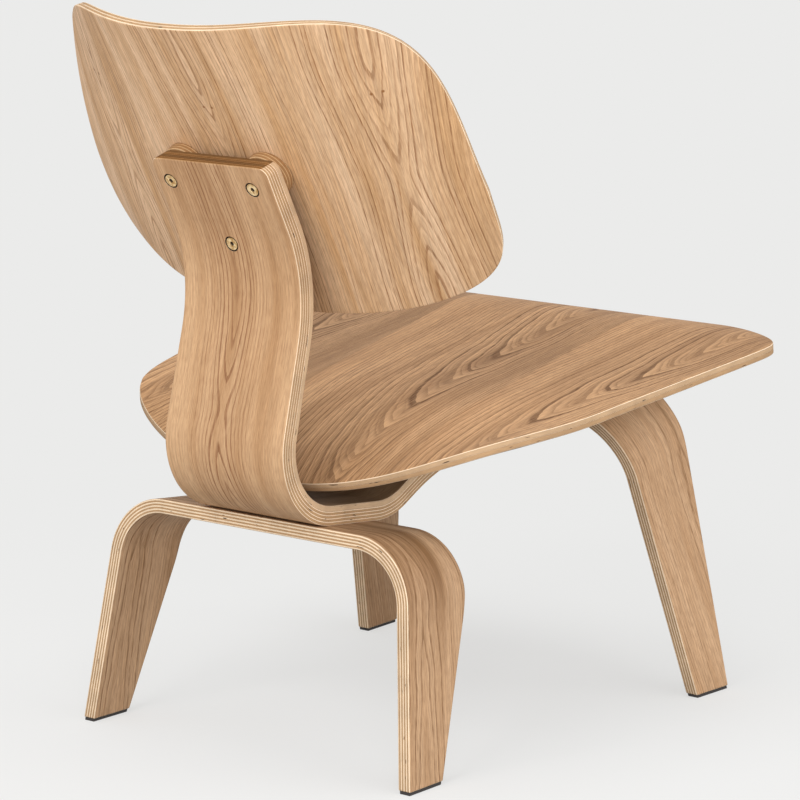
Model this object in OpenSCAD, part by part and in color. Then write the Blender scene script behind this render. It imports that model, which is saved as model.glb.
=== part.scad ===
// Low lounge chair of moulded and bent plywood.
// The sitter faces -Y and +Z is up. The origin is on the floor, under the middle of the chair.
// The chair is worked out in its side view from the rear crossbar: the spine lies on that bar, runs forward to
// the front crossbar and up to the back panel, and every other piece takes its place from the spine.

/* [Legs] */
// Thickness of the bent plywood of both pairs of legs
leg_t = 13.2; // [11:0.1:16]
// Width of each crossbar, front to back
bar_w = 82; // [74:0.5:90]
// Width of each foot
foot_w = 46.5; // [40:0.5:55]
// Radius that eases the taper of a leg into its bend
taper_r = 140; // [60:5:200]
// Height of the middle of the rear crossbar's top face
rear_bar_h = 211.3; // [190:0.5:235]
// Distance over the two rear feet
rear_foot_span = 385.7; // [350:0.5:420]
// Slant of each rear leg out to its side, in degrees
rear_splay = 6.5; // [3:0.1:10]
// Slant of the rear pair to the back, in degrees
rear_tilt = 5.8; // [2:0.1:9]
// Outer radius of the rear bends
rear_bend_r = 61.5; // [50:0.5:75]
// Distance that a rear foot lies behind the middle line of its pair
rear_foot_back = 21.5; // [10:0.5:26]
// Distance over the two front feet
front_foot_span = 420.2; // [390:0.5:450]
// Slant of each front leg out to its side, in degrees
front_splay = 7.5; // [3:0.1:10]
// Outer radius of the front bends
front_bend_r = 79.6; // [60:0.5:90]
// Distance that a front foot lies behind the middle line of its pair
front_foot_back = 33.6; // [20:0.5:38]

/* [Glides] */
// Height of the pad under each foot
glide_t = 3; // [2:0.1:5]
// Margin that each pad keeps from the sides of its foot
glide_inset = 1; // [0.5:0.1:2]
// Diameter of the nail that holds a pad
nail_d = 2.4; // [2:0.1:3]
// Length of the nail under its head
nail_l = 16; // [12:0.5:20]
// Diameter of the nail's head
nail_head_d = 6; // [4.5:0.1:8]
// Thickness of the nail's head
nail_head_t = 0.8; // [0.5:0.1:1]

/* [Spine] */
// Thickness of the spine
spine_t = 18.1; // [15:0.1:21]
// Width of the spine under the seat
spine_w = 138.1; // [128:0.5:148]
// Width of the spine at its top edge
spine_top_w = 132.3; // [124:0.5:138]
// Length below the top edge over which the width grows
spine_taper_l = 285; // [200:5:320]
// Radius of the two top corners
spine_corner_r = 7.5; // [4:0.5:14]
// Slant of the spine's top edge down to the front, from square, in degrees
spine_end_lean = 11; // [0:0.5:16]
// Distance from the rear crossbar's rear edge to the start of the heel bend
heel_setback = 19.2; // [14:0.2:24]
// Radius of the heel bend, measured on the rear face
heel_r = 72.3; // [62:0.2:84]
// Lean of the riser to the front, in degrees
riser_lean = 14.2; // [10:0.1:18]
// Length of the straight riser
riser_l = 81; // [65:0.5:100]
// Radius of the waist bend, measured on the rear face
waist_r = 141.9; // [120:0.5:165]
// Recline of the straight top of the spine, in degrees
top_recline = 27.1; // [22:0.1:32]
// Length of that straight top
top_l = 64.1; // [56:0.1:72]
// Radius of the knee bend, measured on the under face
knee_r = 76; // [64:0.5:88]
// Rise of the spine in front of the knee, in degrees
run_rise = 27.8; // [25:0.1:30]
// Length of the straight in front of the knee
run_l = 16; // [8:0.5:26]
// Radius of the slight toe bend, measured on the under face
toe_r = 200; // [150:5:260]
// Turn of the toe bend back to the level, in degrees
toe_turn = 8.3; // [6:0.1:11]
// Length of the straight that ends over the front crossbar
lap_l = 232; // [215:0.5:250]

/* [Back panel] */
// Thickness of the back panel
back_t = 8; // [7:0.1:10]
// Width over the two wings, before the corners are rounded
back_w = 444.5; // [400:0.5:490]
// Height along the recline
back_l = 303.6; // [280:0.5:325]
// Recline of the panel, in degrees
back_recline = 30.9; // [28:0.1:34]
// Distance from the panel's lower edge to the upper bolts
back_hang = 149.5; // [135:0.5:165]
// Gap between the spine and the panel at the upper bolts
back_gap = 9.4; // [8.4:0.1:14]
// Distance that the wings come forward at the lower edge
back_wing_low = 65.1; // [50:0.1:80]
// Distance that the wings come forward at mid height
back_wing_mid = 60.1; // [45:0.1:75]
// Distance that the wings would come forward at the upper corners
back_wing_top = 130; // [105:0.5:145]
// Distance that the upper and lower edges bow to the rear
back_bow = 8.9; // [4:0.1:12]

/* [Seat panel] */
// Thickness of the seat panel
seat_t = 10; // [8.5:0.1:11.5]
// Length of the seat, rear edge to front edge
seat_l = 492; // [460:1:525]
// Width that the sides would reach at the front edge
seat_front_w = 596.5; // [550:0.5:640]
// Width at the rear edge, before the corners are rounded
seat_rear_w = 441.5; // [400:0.5:480]
// Width of the front edge's bow, one seat length behind its foremost point
seat_bow_w = 1280; // [1150:10:1450]
// Distance from the front crossbar back to the seat's rear edge
seat_behind = 335.6; // [320:0.5:352]
// Gap between the spine and the seat at the front bolts
seat_gap = 12.6; // [11.5:0.1:18]
// Rise of the seat over its whole length
seat_rise = 72.5; // [60:0.5:85]
// Depth of the dip at the rear edge
seat_dip = 41.5; // [30:0.5:52]
// Drop of the front edge
seat_drop = 29.7; // [20:0.1:38]
// Lift of the sides at the rear, measured at the middle width
seat_side_lift = 56.8; // [45:0.1:70]

/* [Spacers] */
// Diameter of the wooden spacer discs
spacer_d = 44; // [36:0.5:48]
// Distance between the two upper back bolts
back_bolt_span = 94; // [88:0.5:98]
// Distance that all three back bolts lie off the middle, to the sitter's left
back_bolt_shift = 4.5; // [-6:0.5:6]
// Distance from the spine's top edge to the upper bolts
back_bolt_drop = 23.8; // [18:0.1:27]
// Distance from the upper bolts to the lower bolt
back_bolt_pitch = 60; // [54:0.5:66]
// Distance between the bolts of a seat pair
seat_bolt_span = 84; // [76:0.5:88]
// Distance from the front seat bolts to the rear ones
seat_bolt_pitch = 85; // [78:0.5:95]

/* [Bolts] */
// Diameter of the bolts
bolt_d = 6; // [5:0.1:7]
// Diameter of the countersunk heads
head_d = 12; // [11:0.1:14]
// Height of the heads
head_h = 3.3; // [3:0.1:4]
// Rim of the heads above the countersink
head_rim = 0.6; // [0.3:0.1:1]
// Width of the hex socket across its flats
socket_af = 4; // [3.5:0.1:4.5]
// Depth of the hex socket
socket_h = 2.2; // [1.6:0.1:2.6]
// Depth of the head below the wood
head_sink = 0.3; // [0.1:0.1:0.8]
// Length of the back bolts
back_bolt_l = 24.5; // [22:0.5:26]
// Length of the rear seat bolts
seat_rear_bolt_l = 30; // [26:0.5:34]
// Length of the front seat bolts, which pass the crossbar too
seat_front_bolt_l = 40; // [37:0.5:42]
// Length of the bolts between the crossbars and the spine
leg_bolt_l = 25; // [21:0.5:27]
// Distance between the two rows of leg bolts, side to side, at the rear
rear_leg_bolt_span = 80; // [66:0.5:100]
// Distance between the two rows of leg bolts, side to side, at the front
front_leg_bolt_span = 36; // [30:0.5:44]
// Distance between the leg bolts of a row, front to back
leg_bolt_pitch = 30; // [26:0.5:40]

/* [Inserts] */
// Outer diameter of the threaded inserts
insert_d = 10; // [9:0.1:12]
// Length of the inserts in the spacer discs
insert_l = 7; // [5:0.1:7.4]
// Length of the inserts in the spine
leg_insert_l = 10; // [8:0.1:11]

/* [Hidden] */
// Clearance of a bolt in its insert, on the radius
thread_gap = 0.1;
// Clearance of a bolt or nail in wood, on the radius
bolt_gap = 0.3;
// Clearance of an insert in its bore, on the radius
insert_gap = 0.1;
// Clearance between a disc and the curved panel that it carries
snug = 0.3;
// Depth that a blind hole goes past its bolt
blind_gap = 1.5;
// Overrun of cuts and of feet before they are trimmed
overrun = 60;
// Angle between two points of a bend, in degrees
bend_step = 4;
// Step that measures the slope of a panel
probe = 0.5;

// Shapes of the panels' outlines and dishes. Shares are parts of the panel's length or width.
// Height of the back panel's widest place
back_wide_share = 0.35;
// Loss of width from there to the upper edge
back_narrow_share = 0.095;
// Powers that round the upper and the lower corners of the back panel
back_top_powers = [3.56, 3.53];
back_low_powers = [4.23, 3.75];
// Power of the back panel's dish, from the middle to a wing
back_dish_power = 2.34;
// Part of the seat's length with the rear dip, and its power
seat_dip_share = 0.42;
seat_dip_power = 2.91;
// Part of the seat's length with the front drop, and its power
seat_drop_share = 0.232;
seat_drop_power = 2.44;
// Part of the seat's length with lifted sides, and the powers along and across
seat_lift_share = 0.35;
seat_lift_power = 2.07;
seat_side_power = 2.37;
// Powers that round the rear corners of the seat, along and across
seat_rear_power = 5.4;
seat_rear_root = 2.25;
// Power that joins the sides of the seat to its front edge: the higher, the sharper the corners
seat_corner_power = 25.5;
// Part of each panel's length that its rounded ends stop short of the full length
end_share = 0.0005;
// Number of strips in a panel, along it and across it
rows = 40;
cols = 18;
// Rounds of the search for the place where an axis meets a panel
reach_rounds = 5;
$fn = 48;

// A panel's face is a function of two places, across and along, in the panel's own frame
back_face = function (x, y)
    let (
        c = 2 * y / back_l - 1,
        wing = back_wing_mid + (back_wing_top - back_wing_low) / 2 * c
            + ((back_wing_top + back_wing_low) / 2 - back_wing_mid) * c * c
    )
    [x, y, wing * across_share(x, back_w / 2, back_dish_power) - back_bow * c * c];
seat_face = function (x, y)
    let (
        a = -y / seat_l,
        dip = seat_dip * pow(max(0, 1 - a / seat_dip_share), seat_dip_power),
        drop = seat_drop * pow(max(0, 1 - (1 - a) / seat_drop_share), seat_drop_power),
        lift = seat_side_lift * pow(max(0, 1 - a / seat_lift_share), seat_lift_power),
        half = (seat_front_w + seat_rear_w) / 4
    )
    [x, y, seat_rise * a - dip - drop + lift * across_share(x, half, seat_side_power)];

// Places of the panels' points in their own frames, row by row
back_rows = [
    for (i = [0 : rows]) let (v = row_share(i))
    [for (j = [0 : cols]) [back_half(v) * side_share(j), back_l * v]]
];
seat_rows = [
    for (i = [rows : -1 : 0]) let (v = row_share(i))
    [for (j = [0 : cols]) [seat_half(v) * side_share(j), -seat_l * v]]
];

// Moves of the spine, from the start of its flat: forward to its front end, and up to its top edge
flat_l = bar_w - heel_setback;
forward_moves = [
    [flat_l, 0],
    [knee_r, -(run_rise + rear_tilt)],
    [run_l, 0],
    [toe_r, toe_turn],
    [lap_l, 0],
];
upward_moves = [
    [heel_r, 90 + riser_lean - rear_tilt],
    [riser_l, 0],
    [waist_r, -(riser_lean + top_recline)],
    [top_l, 0],
];

// Places in the side view are frames: [[y, z], heading in degrees up from +Y]
rear_bar = [[0, rear_bar_h], rear_tilt];
spine_start = [to_world(rear_bar, [bar_w / 2 - heel_setback, 0]), rear_tilt];
spine_front = [end_of(forward_moves, spine_start[0], spine_start[1] + 180), toe_turn - run_rise];
front_bar = [to_world(spine_front, [bar_w / 2, 0]), spine_front[1]];
up_total = length_of(upward_moves);
upper_bolt = spot(upward_moves, spine_start[0], spine_start[1], up_total - back_bolt_drop);
lower_bolt = spot(upward_moves, spine_start[0], spine_start[1], up_total - back_bolt_drop - back_bolt_pitch);

// The back panel hangs at its gap from the spine's front face
back_hook = to_world(upper_bolt, [0, spine_t + back_gap]);
back_heading = 90 - back_recline;
back_frame = [
    back_hook
        - back_hang * ahead(back_heading)
        - hidden_height(back_face, back_t, 0, back_hang) * leftward(back_heading),
    back_heading
];

// The seat lies at its gap over the front crossbar
seat_hook = to_world(front_bar, [0, spine_t + seat_gap]);
seat_y = front_bar[0][0] + seat_behind;
seat_frame = [[seat_y, seat_hook[1] - hidden_height(seat_face, seat_t, 0, seat_hook[0] - seat_y)], 0];

// Distance from each crossbar to its feet, and half of each span
rear_drop = (rear_bar[0][1] - glide_t) / cos(rear_bar[1]);
front_drop = (front_bar[0][1] - glide_t) / cos(front_bar[1]);
rear_half = rear_foot_span / 2;
front_half = front_foot_span / 2;

// The chair is centred front to back between the seat's front edge and the back panel's rearmost point
back_ends = [for (row = hidden_rows(back_rows, back_face, back_t), p = row) to_world(back_frame, [p[1], p[2]])[0]];
seat_ends = [for (row = seat_rows, p = row) seat_y + seat_face(p[0], p[1])[1]];
centre_y = (max(back_ends) + min(seat_ends)) / 2;

// Places of the bolts: [across, along] in the frame that carries them
back_bolts = [
    [back_bolt_shift + back_bolt_span / 2, upper_bolt],
    [back_bolt_shift - back_bolt_span / 2, upper_bolt],
    [back_bolt_shift, lower_bolt],
];
flat_middle = bar_w / 2 - heel_setback - flat_l / 2;
rear_leg_bolt_spots = [for (i = [-1, 1], j = [-1, 1]) [i * rear_leg_bolt_span / 2, flat_middle + j * leg_bolt_pitch / 2]];
front_leg_bolt_spots = [for (i = [-1, 1], j = [-1, 1]) [i * front_leg_bolt_span / 2, j * leg_bolt_pitch / 2]];
seat_front_spots = [for (i = [1, -1]) [i * seat_bolt_span / 2, 0]];
seat_rear_spots = [for (i = [1, -1]) [i * seat_bolt_span / 2, seat_bolt_pitch]];

// Side view geometry

// Direction of a heading, and the direction to its left
function ahead(a) = [cos(a), sin(a)];
function leftward(a) = [-sin(a), cos(a)];

// A place given in a frame, as a place in the side view, and the reverse
function to_world(frame, q) = frame[0] + q[0] * ahead(frame[1]) + q[1] * leftward(frame[1]);
function to_frame(frame, p) = [(p - frame[0]) * ahead(frame[1]), (p - frame[0]) * leftward(frame[1])];

// Points of a face of a bent strip. A move is [length, 0], or [radius, turn] with turns to the left above zero.
// The face lies a distance off, to the left of the path that the lengths and radii are given for.
function face(moves, p, a, off, i = 0) =
    let (start = p + off * leftward(a))
    i == len(moves) ? [start]
    : moves[i][1] == 0 ? concat([start], face(moves, p + moves[i][0] * ahead(a), a, off, i + 1))
    : let (
        side = sign(moves[i][1]),
        turn = moves[i][1],
        centre = p + side * moves[i][0] * leftward(a),
        count = ceil(abs(turn) / bend_step),
        arc = [for (k = [0 : count - 1]) centre + (off - side * moves[i][0]) * leftward(a + turn * k / count)]
    )
    concat(arc, face(moves, centre - side * moves[i][0] * leftward(a + turn), a + turn, off, i + 1));

// Last point of a path, and its length
function end_of(moves, p, a) = let (points = face(moves, p, a, 0)) points[len(points) - 1];
function move_length(m) = m[1] == 0 ? m[0] : m[0] * abs(m[1]) * PI / 180;
function length_of(moves) = [for (m = moves) move_length(m)] * [for (m = moves) 1];

// Frame on a path at a distance from its start
function spot(moves, p, a, distance, i = 0) =
    let (m = moves[i], l = move_length(m), share = min(1, distance / l), last = i == len(moves) - 1)
    let (part = m[1] == 0 ? [m[0] * share, 0] : [m[0], m[1] * share])
    share == 1 && !last
    ? spot(moves, end_of([m], p, a), a + m[1], distance - l, i + 1)
    : [end_of([part], p, a), a + part[1]];

// The same moves with their last straight shortened
function shortened(moves, by) =
    [for (i = [0 : len(moves) - 1]) i < len(moves) - 1 ? moves[i] : [moves[i][0] - by, 0]];

function reversed(list) = [for (i = [len(list) - 1 : -1 : 0]) list[i]];
function without_first(list) = [for (i = [1 : len(list) - 1]) list[i]];

// Panels

// Part that a place across has in a dish or a lift
function across_share(x, half, power) = pow(abs(x) / half, power);

// Unit normal of a face, on the sitter's side
function normal(skin, x, y) =
    let (
        du = skin(x + probe, y) - skin(x - probe, y),
        dv = skin(x, y + probe) - skin(x, y - probe),
        n = cross(du, dv)
    )
    n / norm(n);

// Height of the hidden face of a panel over its frame, at a place across and along
function hidden_height(skin, t, x, y) = skin(x, y)[2] - t / normal(skin, x, y)[2];

// Half of the outline's width at a share of the length from the lower or rear edge
function back_half(v) =
    let (
        up = v > back_wide_share,
        c = up ? (v - back_wide_share) / (1 - back_wide_share) : 1 - v / back_wide_share,
        powers = up ? back_top_powers : back_low_powers
    )
    back_w / 2 * (1 - (up ? back_narrow_share * c : 0)) * pow(1 - pow(c, powers[0]), 1 / powers[1]);
function seat_half(v) =
    let (
        width = seat_rear_w + (seat_front_w - seat_rear_w) * v,
        side = width / 2 * pow(1 - pow(max(0, 1 - 2 * v), seat_rear_power), 1 / seat_rear_root),
        bow = seat_bow_w / 2 * sqrt(1 - v)
    )
    pow(pow(side, -seat_corner_power) + pow(bow, -seat_corner_power), -1 / seat_corner_power);

// Shares of the rows and of the places in a row, closer together near the ends and the sides
function eased(i, n) = (1 - cos(180 * i / n)) / 2;
function row_share(i) = end_share + (1 - 2 * end_share) * eased(i, rows);
function side_share(j) = 2 * eased(j, cols) - 1;

function shown_rows(places, skin) = [for (row = places) [for (p = row) skin(p[0], p[1])]];
function hidden_rows(places, skin, t) =
    [for (row = places) [for (p = row) skin(p[0], p[1]) - t * normal(skin, p[0], p[1])]];

// Closed shell between a shown face and a hidden one
module shell(places, skin, t) {
    w = cols + 1;
    n = (rows + 1) * w;
    points = [for (side = [shown_rows(places, skin), hidden_rows(places, skin, t)], row = side, p = row) p];
    faces = [
        for (i = [0 : rows - 1], j = [0 : cols - 1]) let (a = i * w + j) each [
            [a, a + w, a + w + 1],
            [a, a + w + 1, a + 1],
            [n + a, n + a + w + 1, n + a + w],
            [n + a, n + a + 1, n + a + w + 1],
        ],
        for (i = [0 : rows - 1]) let (a = i * w, b = a + cols) each [
            [a, n + a, n + a + w],
            [a, n + a + w, a + w],
            [b, n + b + w, n + b],
            [b, b + w, n + b + w],
        ],
        for (j = [0 : cols - 1]) let (b = rows * w + j) each [
            [j, n + j + 1, n + j],
            [j, j + 1, n + j + 1],
            [b, n + b, n + b + 1],
            [b, n + b + 1, b + 1],
        ],
    ];
    polyhedron(points, faces, convexity = 6);
}

// Distance along an axis, square to the carrier at [l, h] in its frame, to the hidden face of a panel
function reach(carrier, frame, skin, t, x, l, h, s = 0, rounds = reach_rounds) =
    rounds == 0 ? s
    : let (q = to_frame(frame, to_world(carrier, [l, h + s])))
      reach(carrier, frame, skin, t, x, l, h, s + hidden_height(skin, t, x, q[0]) - q[1], rounds - 1);

// Placing

// Stands the children on a frame of the side view: Y along its heading, Z to its left
module at_frame(frame) {
    translate([0, frame[0][0] - centre_y, frame[0][1]])
    rotate([frame[1], 0, 0])
    children();
}

// Extrudes a side view outline across the chair
module across(width) {
    translate([0, -centre_y, 0])
    rotate([90, 0, 90])
    linear_extrude(width, center = true)
    children();
}

// Fasteners, each with its outer end at zero and pointing to +Z

module bolt(length) {
    color("#D6C396")
    difference() {
        translate([0, 0, head_sink])
        rotate_extrude()
        polygon([
            [0, 0],
            [head_d / 2, 0],
            [head_d / 2, head_rim],
            [bolt_d / 2, head_h],
            [bolt_d / 2, length - bolt_gap],
            [bolt_d / 2 - bolt_gap, length],
            [0, length],
        ]);
        translate([0, 0, -head_h])
        cylinder(h = head_h + head_sink + socket_h, d = socket_af / cos(30), $fn = 6);
    }
}

// Hole for a bolt: a countersink, then a bore for the given length
module bolt_hole(length) {
    rotate_extrude()
    polygon([
        [0, -overrun],
        [head_d / 2 + bolt_gap, -overrun],
        [head_d / 2 + bolt_gap, head_sink + head_rim],
        [bolt_d / 2 + bolt_gap, head_sink + head_h],
        [bolt_d / 2 + bolt_gap, length],
        [0, length],
    ]);
}

module insert(length) {
    color("#C9A94F")
    difference() {
        cylinder(h = length, d = insert_d);
        translate([0, 0, -overrun])
        cylinder(h = length + 2 * overrun, r = bolt_d / 2 + thread_gap);
    }
}

// Disc on a carrier, with its far end cut to the slope of the panel that it meets
module spacer(carrier, frame, skin, t, x, l) {
    s = reach(carrier, frame, skin, t, x, l, spine_t);
    q = to_frame(frame, to_world(carrier, [l, spine_t + s]));
    n = normal(skin, x, q[0]);
    color("#DDBE93")
    at_frame(carrier)
    translate([x, l, spine_t])
    difference() {
        cylinder(h = s + spacer_d / 2, d = spacer_d);
        translate([0, 0, -overrun])
        cylinder(h = s + 2 * overrun, r = insert_d / 2 + insert_gap);
        translate([0, 0, s])
        rotate([frame[1] - carrier[1], 0, 0])
        rotate([-asin(n[1]), atan2(n[0], n[2]), 0])
        translate([-spacer_d, -spacer_d, -snug])
        cube(2 * spacer_d);
    }
}

// Bent pair of legs

// One edge of a leg in its side view: straight down the bend, eased, then straight to the foot and past it
function leg_edge(w, foot_y, bend_h, drop) =
    let (turn = atan((foot_y - w) / (drop - bend_h)), cut = taper_r * tan(abs(turn) / 2))
    face(
        [[overrun + bend_h - cut, 0], [taper_r, turn], [(drop - bend_h) / cos(turn) - cut + overrun, 0]],
        [w, overrun], -90, 0
    );

// A U of constant thickness, cut to the taper of its legs. Its frame's origin is the middle of the crossbar's top.
module leg_pair(half, drop, splay, bend_r, foot_back, inset) {
    turn = 90 - splay;
    tangent = bend_r * tan(turn / 2);
    corner_x = half - drop * tan(splay);
    start = [-half, -drop] - overrun * ahead(turn);
    moves = [
        [drop / cos(splay) - tangent + overrun, 0],
        [bend_r, -turn],
        [2 * (corner_x - tangent), 0],
        [bend_r, -turn],
        [drop / cos(splay) - tangent + overrun, 0],
    ];
    bend_h = bend_r * (1 - sin(splay));
    intersection() {
        rotate([90, 0, 0])
        linear_extrude(2 * bar_w, center = true)
        polygon(concat(face(moves, start, turn, -inset), reversed(face(moves, start, turn, inset - leg_t))));
        rotate([90, 0, 90])
        linear_extrude(4 * half, center = true)
        polygon(concat(
            leg_edge(bar_w / 2 - inset, foot_back + foot_w / 2 - inset, bend_h, drop),
            reversed(leg_edge(inset - bar_w / 2, foot_back - foot_w / 2 + inset, bend_h, drop))
        ));
    }
}
module rear_pair(inset = 0) {
    at_frame(rear_bar)
    leg_pair(rear_half, rear_drop, rear_splay, rear_bend_r, rear_foot_back, inset);
}
module front_pair(inset = 0) {
    at_frame(front_bar)
    leg_pair(front_half, front_drop, front_splay, front_bend_r, front_foot_back, inset);
}

// Middle of a foot on the sitter's left, where its nail goes in
function foot_spot(frame, half, splay, back) =
    [half - leg_t / 2 / cos(splay), frame[0][0] + back / cos(frame[1]) - (frame[0][1] - glide_t) * tan(-frame[1]), 0];
rear_nail = foot_spot(rear_bar, rear_half, rear_splay, rear_foot_back);
front_nail = foot_spot(front_bar, front_half, front_splay, front_foot_back);
nails = [for (p = [rear_nail, front_nail], side = [1, -1]) [side * p[0], p[1] - centre_y, 0]];

// Everything from a height upward, or the slice between the floor and that height
module above(h) {
    translate([-seat_l, -seat_l, h])
    cube(2 * seat_l);
}
module slice(h, side) {
    translate([side > 0 ? 0 : -seat_l, -seat_l, 0])
    cube([seat_l, 2 * seat_l, h]);
}

module nail(gap = 0) {
    translate([0, 0, glide_t - 2 * nail_head_t - gap])
    cylinder(h = nail_head_t + gap, d = nail_head_d + 2 * gap);
    translate([0, 0, glide_t - 2 * nail_head_t])
    cylinder(h = nail_l, d = nail_d + 2 * gap);
}

// Pieces

module back_panel() {
    color("#CDA578")
    at_frame(back_frame)
    shell(back_rows, back_face, back_t);
}

module seat_panel() {
    color("#BE9673")
    at_frame(seat_frame)
    shell(seat_rows, seat_face, seat_t);
}

// Outline of the spine seen square to its top: full width below, narrower at the top, with rounded corners
module spine_front_view() {
    long = up_total + length_of(forward_moves);
    turn = 90 - atan((spine_w - spine_top_w) / 2 / spine_taper_l);
    tangent = spine_corner_r * tan(turn / 2);
    side_l = spine_taper_l / sin(turn) - tangent;
    moves = [[side_l, 0], [spine_corner_r, -turn], [spine_top_w - 2 * tangent, 0], [spine_corner_r, -turn], [side_l, 0]];
    polygon(concat(
        [[-spine_w / 2, -long]],
        face(moves, [-spine_w / 2, -spine_taper_l], turn, 0),
        [[spine_w / 2, -long]]
    ));
}

module spine() {
    start = spine_start[0];
    a = spine_start[1];
    outline = concat(
        reversed(face(upward_moves, start, a, 0)),
        without_first(face(forward_moves, start, a + 180, 0)),
        reversed(face(forward_moves, start, a + 180, -spine_t)),
        without_first(face(shortened(upward_moves, spine_t * tan(spine_end_lean)), start, a, spine_t))
    );
    top = spot(upward_moves, start, a, up_total);
    color("#C89B73")
    difference() {
        intersection() {
            across(2 * spine_w)
            polygon(outline);
            at_frame(top)
            linear_extrude(4 * up_total, center = true)
            spine_front_view();
        }
        for (b = back_bolts)
        at_frame(b[1])
        translate([b[0], 0, 0])
        bolt_hole(spine_t + overrun);
        for (p = seat_rear_spots)
        at_frame(front_bar)
        translate([p[0], p[1], 0])
        bolt_hole(spine_t + overrun);
        for (p = seat_front_spots)
        at_frame(front_bar)
        translate([p[0], p[1], -overrun])
        cylinder(h = spine_t + 2 * overrun, r = bolt_d / 2 + bolt_gap);
        for (p = rear_leg_bolt_spots)
        at_frame(rear_bar)
        translate([p[0], p[1], -leg_t])
        cylinder(h = leg_bolt_l + head_sink + blind_gap, r = insert_d / 2 + insert_gap);
        for (p = front_leg_bolt_spots)
        at_frame(front_bar)
        translate([p[0], p[1], -leg_t])
        cylinder(h = leg_bolt_l + head_sink + blind_gap, r = insert_d / 2 + insert_gap);
    }
}

module rear_legs() {
    color("#CFA87C")
    difference() {
        intersection() {
            rear_pair();
            above(glide_t);
        }
        for (p = rear_leg_bolt_spots)
        at_frame(rear_bar)
        translate([p[0], p[1], -leg_t])
        bolt_hole(leg_t + overrun);
        for (p = nails)
        translate(p)
        nail(bolt_gap);
    }
}

module front_legs() {
    color("#CFA87C")
    difference() {
        intersection() {
            front_pair();
            above(glide_t);
        }
        for (p = concat(front_leg_bolt_spots, seat_front_spots))
        at_frame(front_bar)
        translate([p[0], p[1], -leg_t])
        bolt_hole(leg_t + overrun);
        for (p = nails)
        translate(p)
        nail(bolt_gap);
    }
}

module back_spacer(i) {
    spacer(back_bolts[i][1], back_frame, back_face, back_t, back_bolts[i][0], 0);
}
module back_insert(i) {
    at_frame(back_bolts[i][1])
    translate([back_bolts[i][0], 0, spine_t])
    insert(insert_l);
}
module back_bolt(i) {
    at_frame(back_bolts[i][1])
    translate([back_bolts[i][0], 0, 0])
    bolt(back_bolt_l);
}

module seat_spacer(p) {
    spacer(front_bar, seat_frame, seat_face, seat_t, p[0], p[1]);
}
module seat_insert(p) {
    at_frame(front_bar)
    translate([p[0], p[1], spine_t])
    insert(insert_l);
}
module seat_front_bolt(p) {
    at_frame(front_bar)
    translate([p[0], p[1], -leg_t])
    bolt(seat_front_bolt_l);
}
module seat_rear_bolt(p) {
    at_frame(front_bar)
    translate([p[0], p[1], 0])
    bolt(seat_rear_bolt_l);
}

module leg_bolts(frame, spots) {
    for (p = spots)
    at_frame(frame)
    translate([p[0], p[1], -leg_t])
    bolt(leg_bolt_l);
}
module leg_inserts(frame, spots) {
    for (p = spots)
    at_frame(frame)
    translate([p[0], p[1], 0])
    insert(leg_insert_l);
}

module glide_hole(side, nail_place) {
    translate([side * nail_place[0], nail_place[1] - centre_y, 0]) {
        nail(bolt_gap);
        translate([0, 0, -overrun])
        cylinder(h = overrun + glide_t - 2 * nail_head_t, d = nail_head_d + 2 * bolt_gap);
    }
}
module rear_glide(side) {
    color("#3A332E")
    difference() {
        intersection() {
            rear_pair(glide_inset);
            slice(glide_t, side);
        }
        glide_hole(side, rear_nail);
    }
}
module front_glide(side) {
    color("#3A332E")
    difference() {
        intersection() {
            front_pair(glide_inset);
            slice(glide_t, side);
        }
        glide_hole(side, front_nail);
    }
}
module glide_nails() {
    color("#A9A59C")
    for (p = nails)
    translate(p)
    nail();
}

back_panel();
seat_panel();
spine();
rear_legs();
front_legs();
back_spacer(0);  // back_spacer_left
back_spacer(1);  // back_spacer_right
back_spacer(2);  // back_spacer_lower
back_insert(0);  // back_insert_left
back_insert(1);  // back_insert_right
back_insert(2);  // back_insert_lower
back_bolt(0);  // back_bolt_left
back_bolt(1);  // back_bolt_right
back_bolt(2);  // back_bolt_lower
seat_spacer(seat_front_spots[0]);  // seat_spacer_front_left
seat_spacer(seat_front_spots[1]);  // seat_spacer_front_right
seat_spacer(seat_rear_spots[0]);  // seat_spacer_rear_left
seat_spacer(seat_rear_spots[1]);  // seat_spacer_rear_right
seat_insert(seat_front_spots[0]);  // seat_insert_front_left
seat_insert(seat_front_spots[1]);  // seat_insert_front_right
seat_insert(seat_rear_spots[0]);  // seat_insert_rear_left
seat_insert(seat_rear_spots[1]);  // seat_insert_rear_right
seat_front_bolt(seat_front_spots[0]);  // seat_bolt_front_left
seat_front_bolt(seat_front_spots[1]);  // seat_bolt_front_right
seat_rear_bolt(seat_rear_spots[0]);  // seat_bolt_rear_left
seat_rear_bolt(seat_rear_spots[1]);  // seat_bolt_rear_right
leg_bolts(rear_bar, rear_leg_bolt_spots);  // rear_leg_bolts
leg_bolts(front_bar, front_leg_bolt_spots);  // front_leg_bolts
leg_inserts(rear_bar, rear_leg_bolt_spots);  // rear_leg_inserts
leg_inserts(front_bar, front_leg_bolt_spots);  // front_leg_inserts
rear_glide(1);  // glide_rear_left
rear_glide(-1);  // glide_rear_right
front_glide(1);  // glide_front_left
front_glide(-1);  // glide_front_right
glide_nails();
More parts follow.
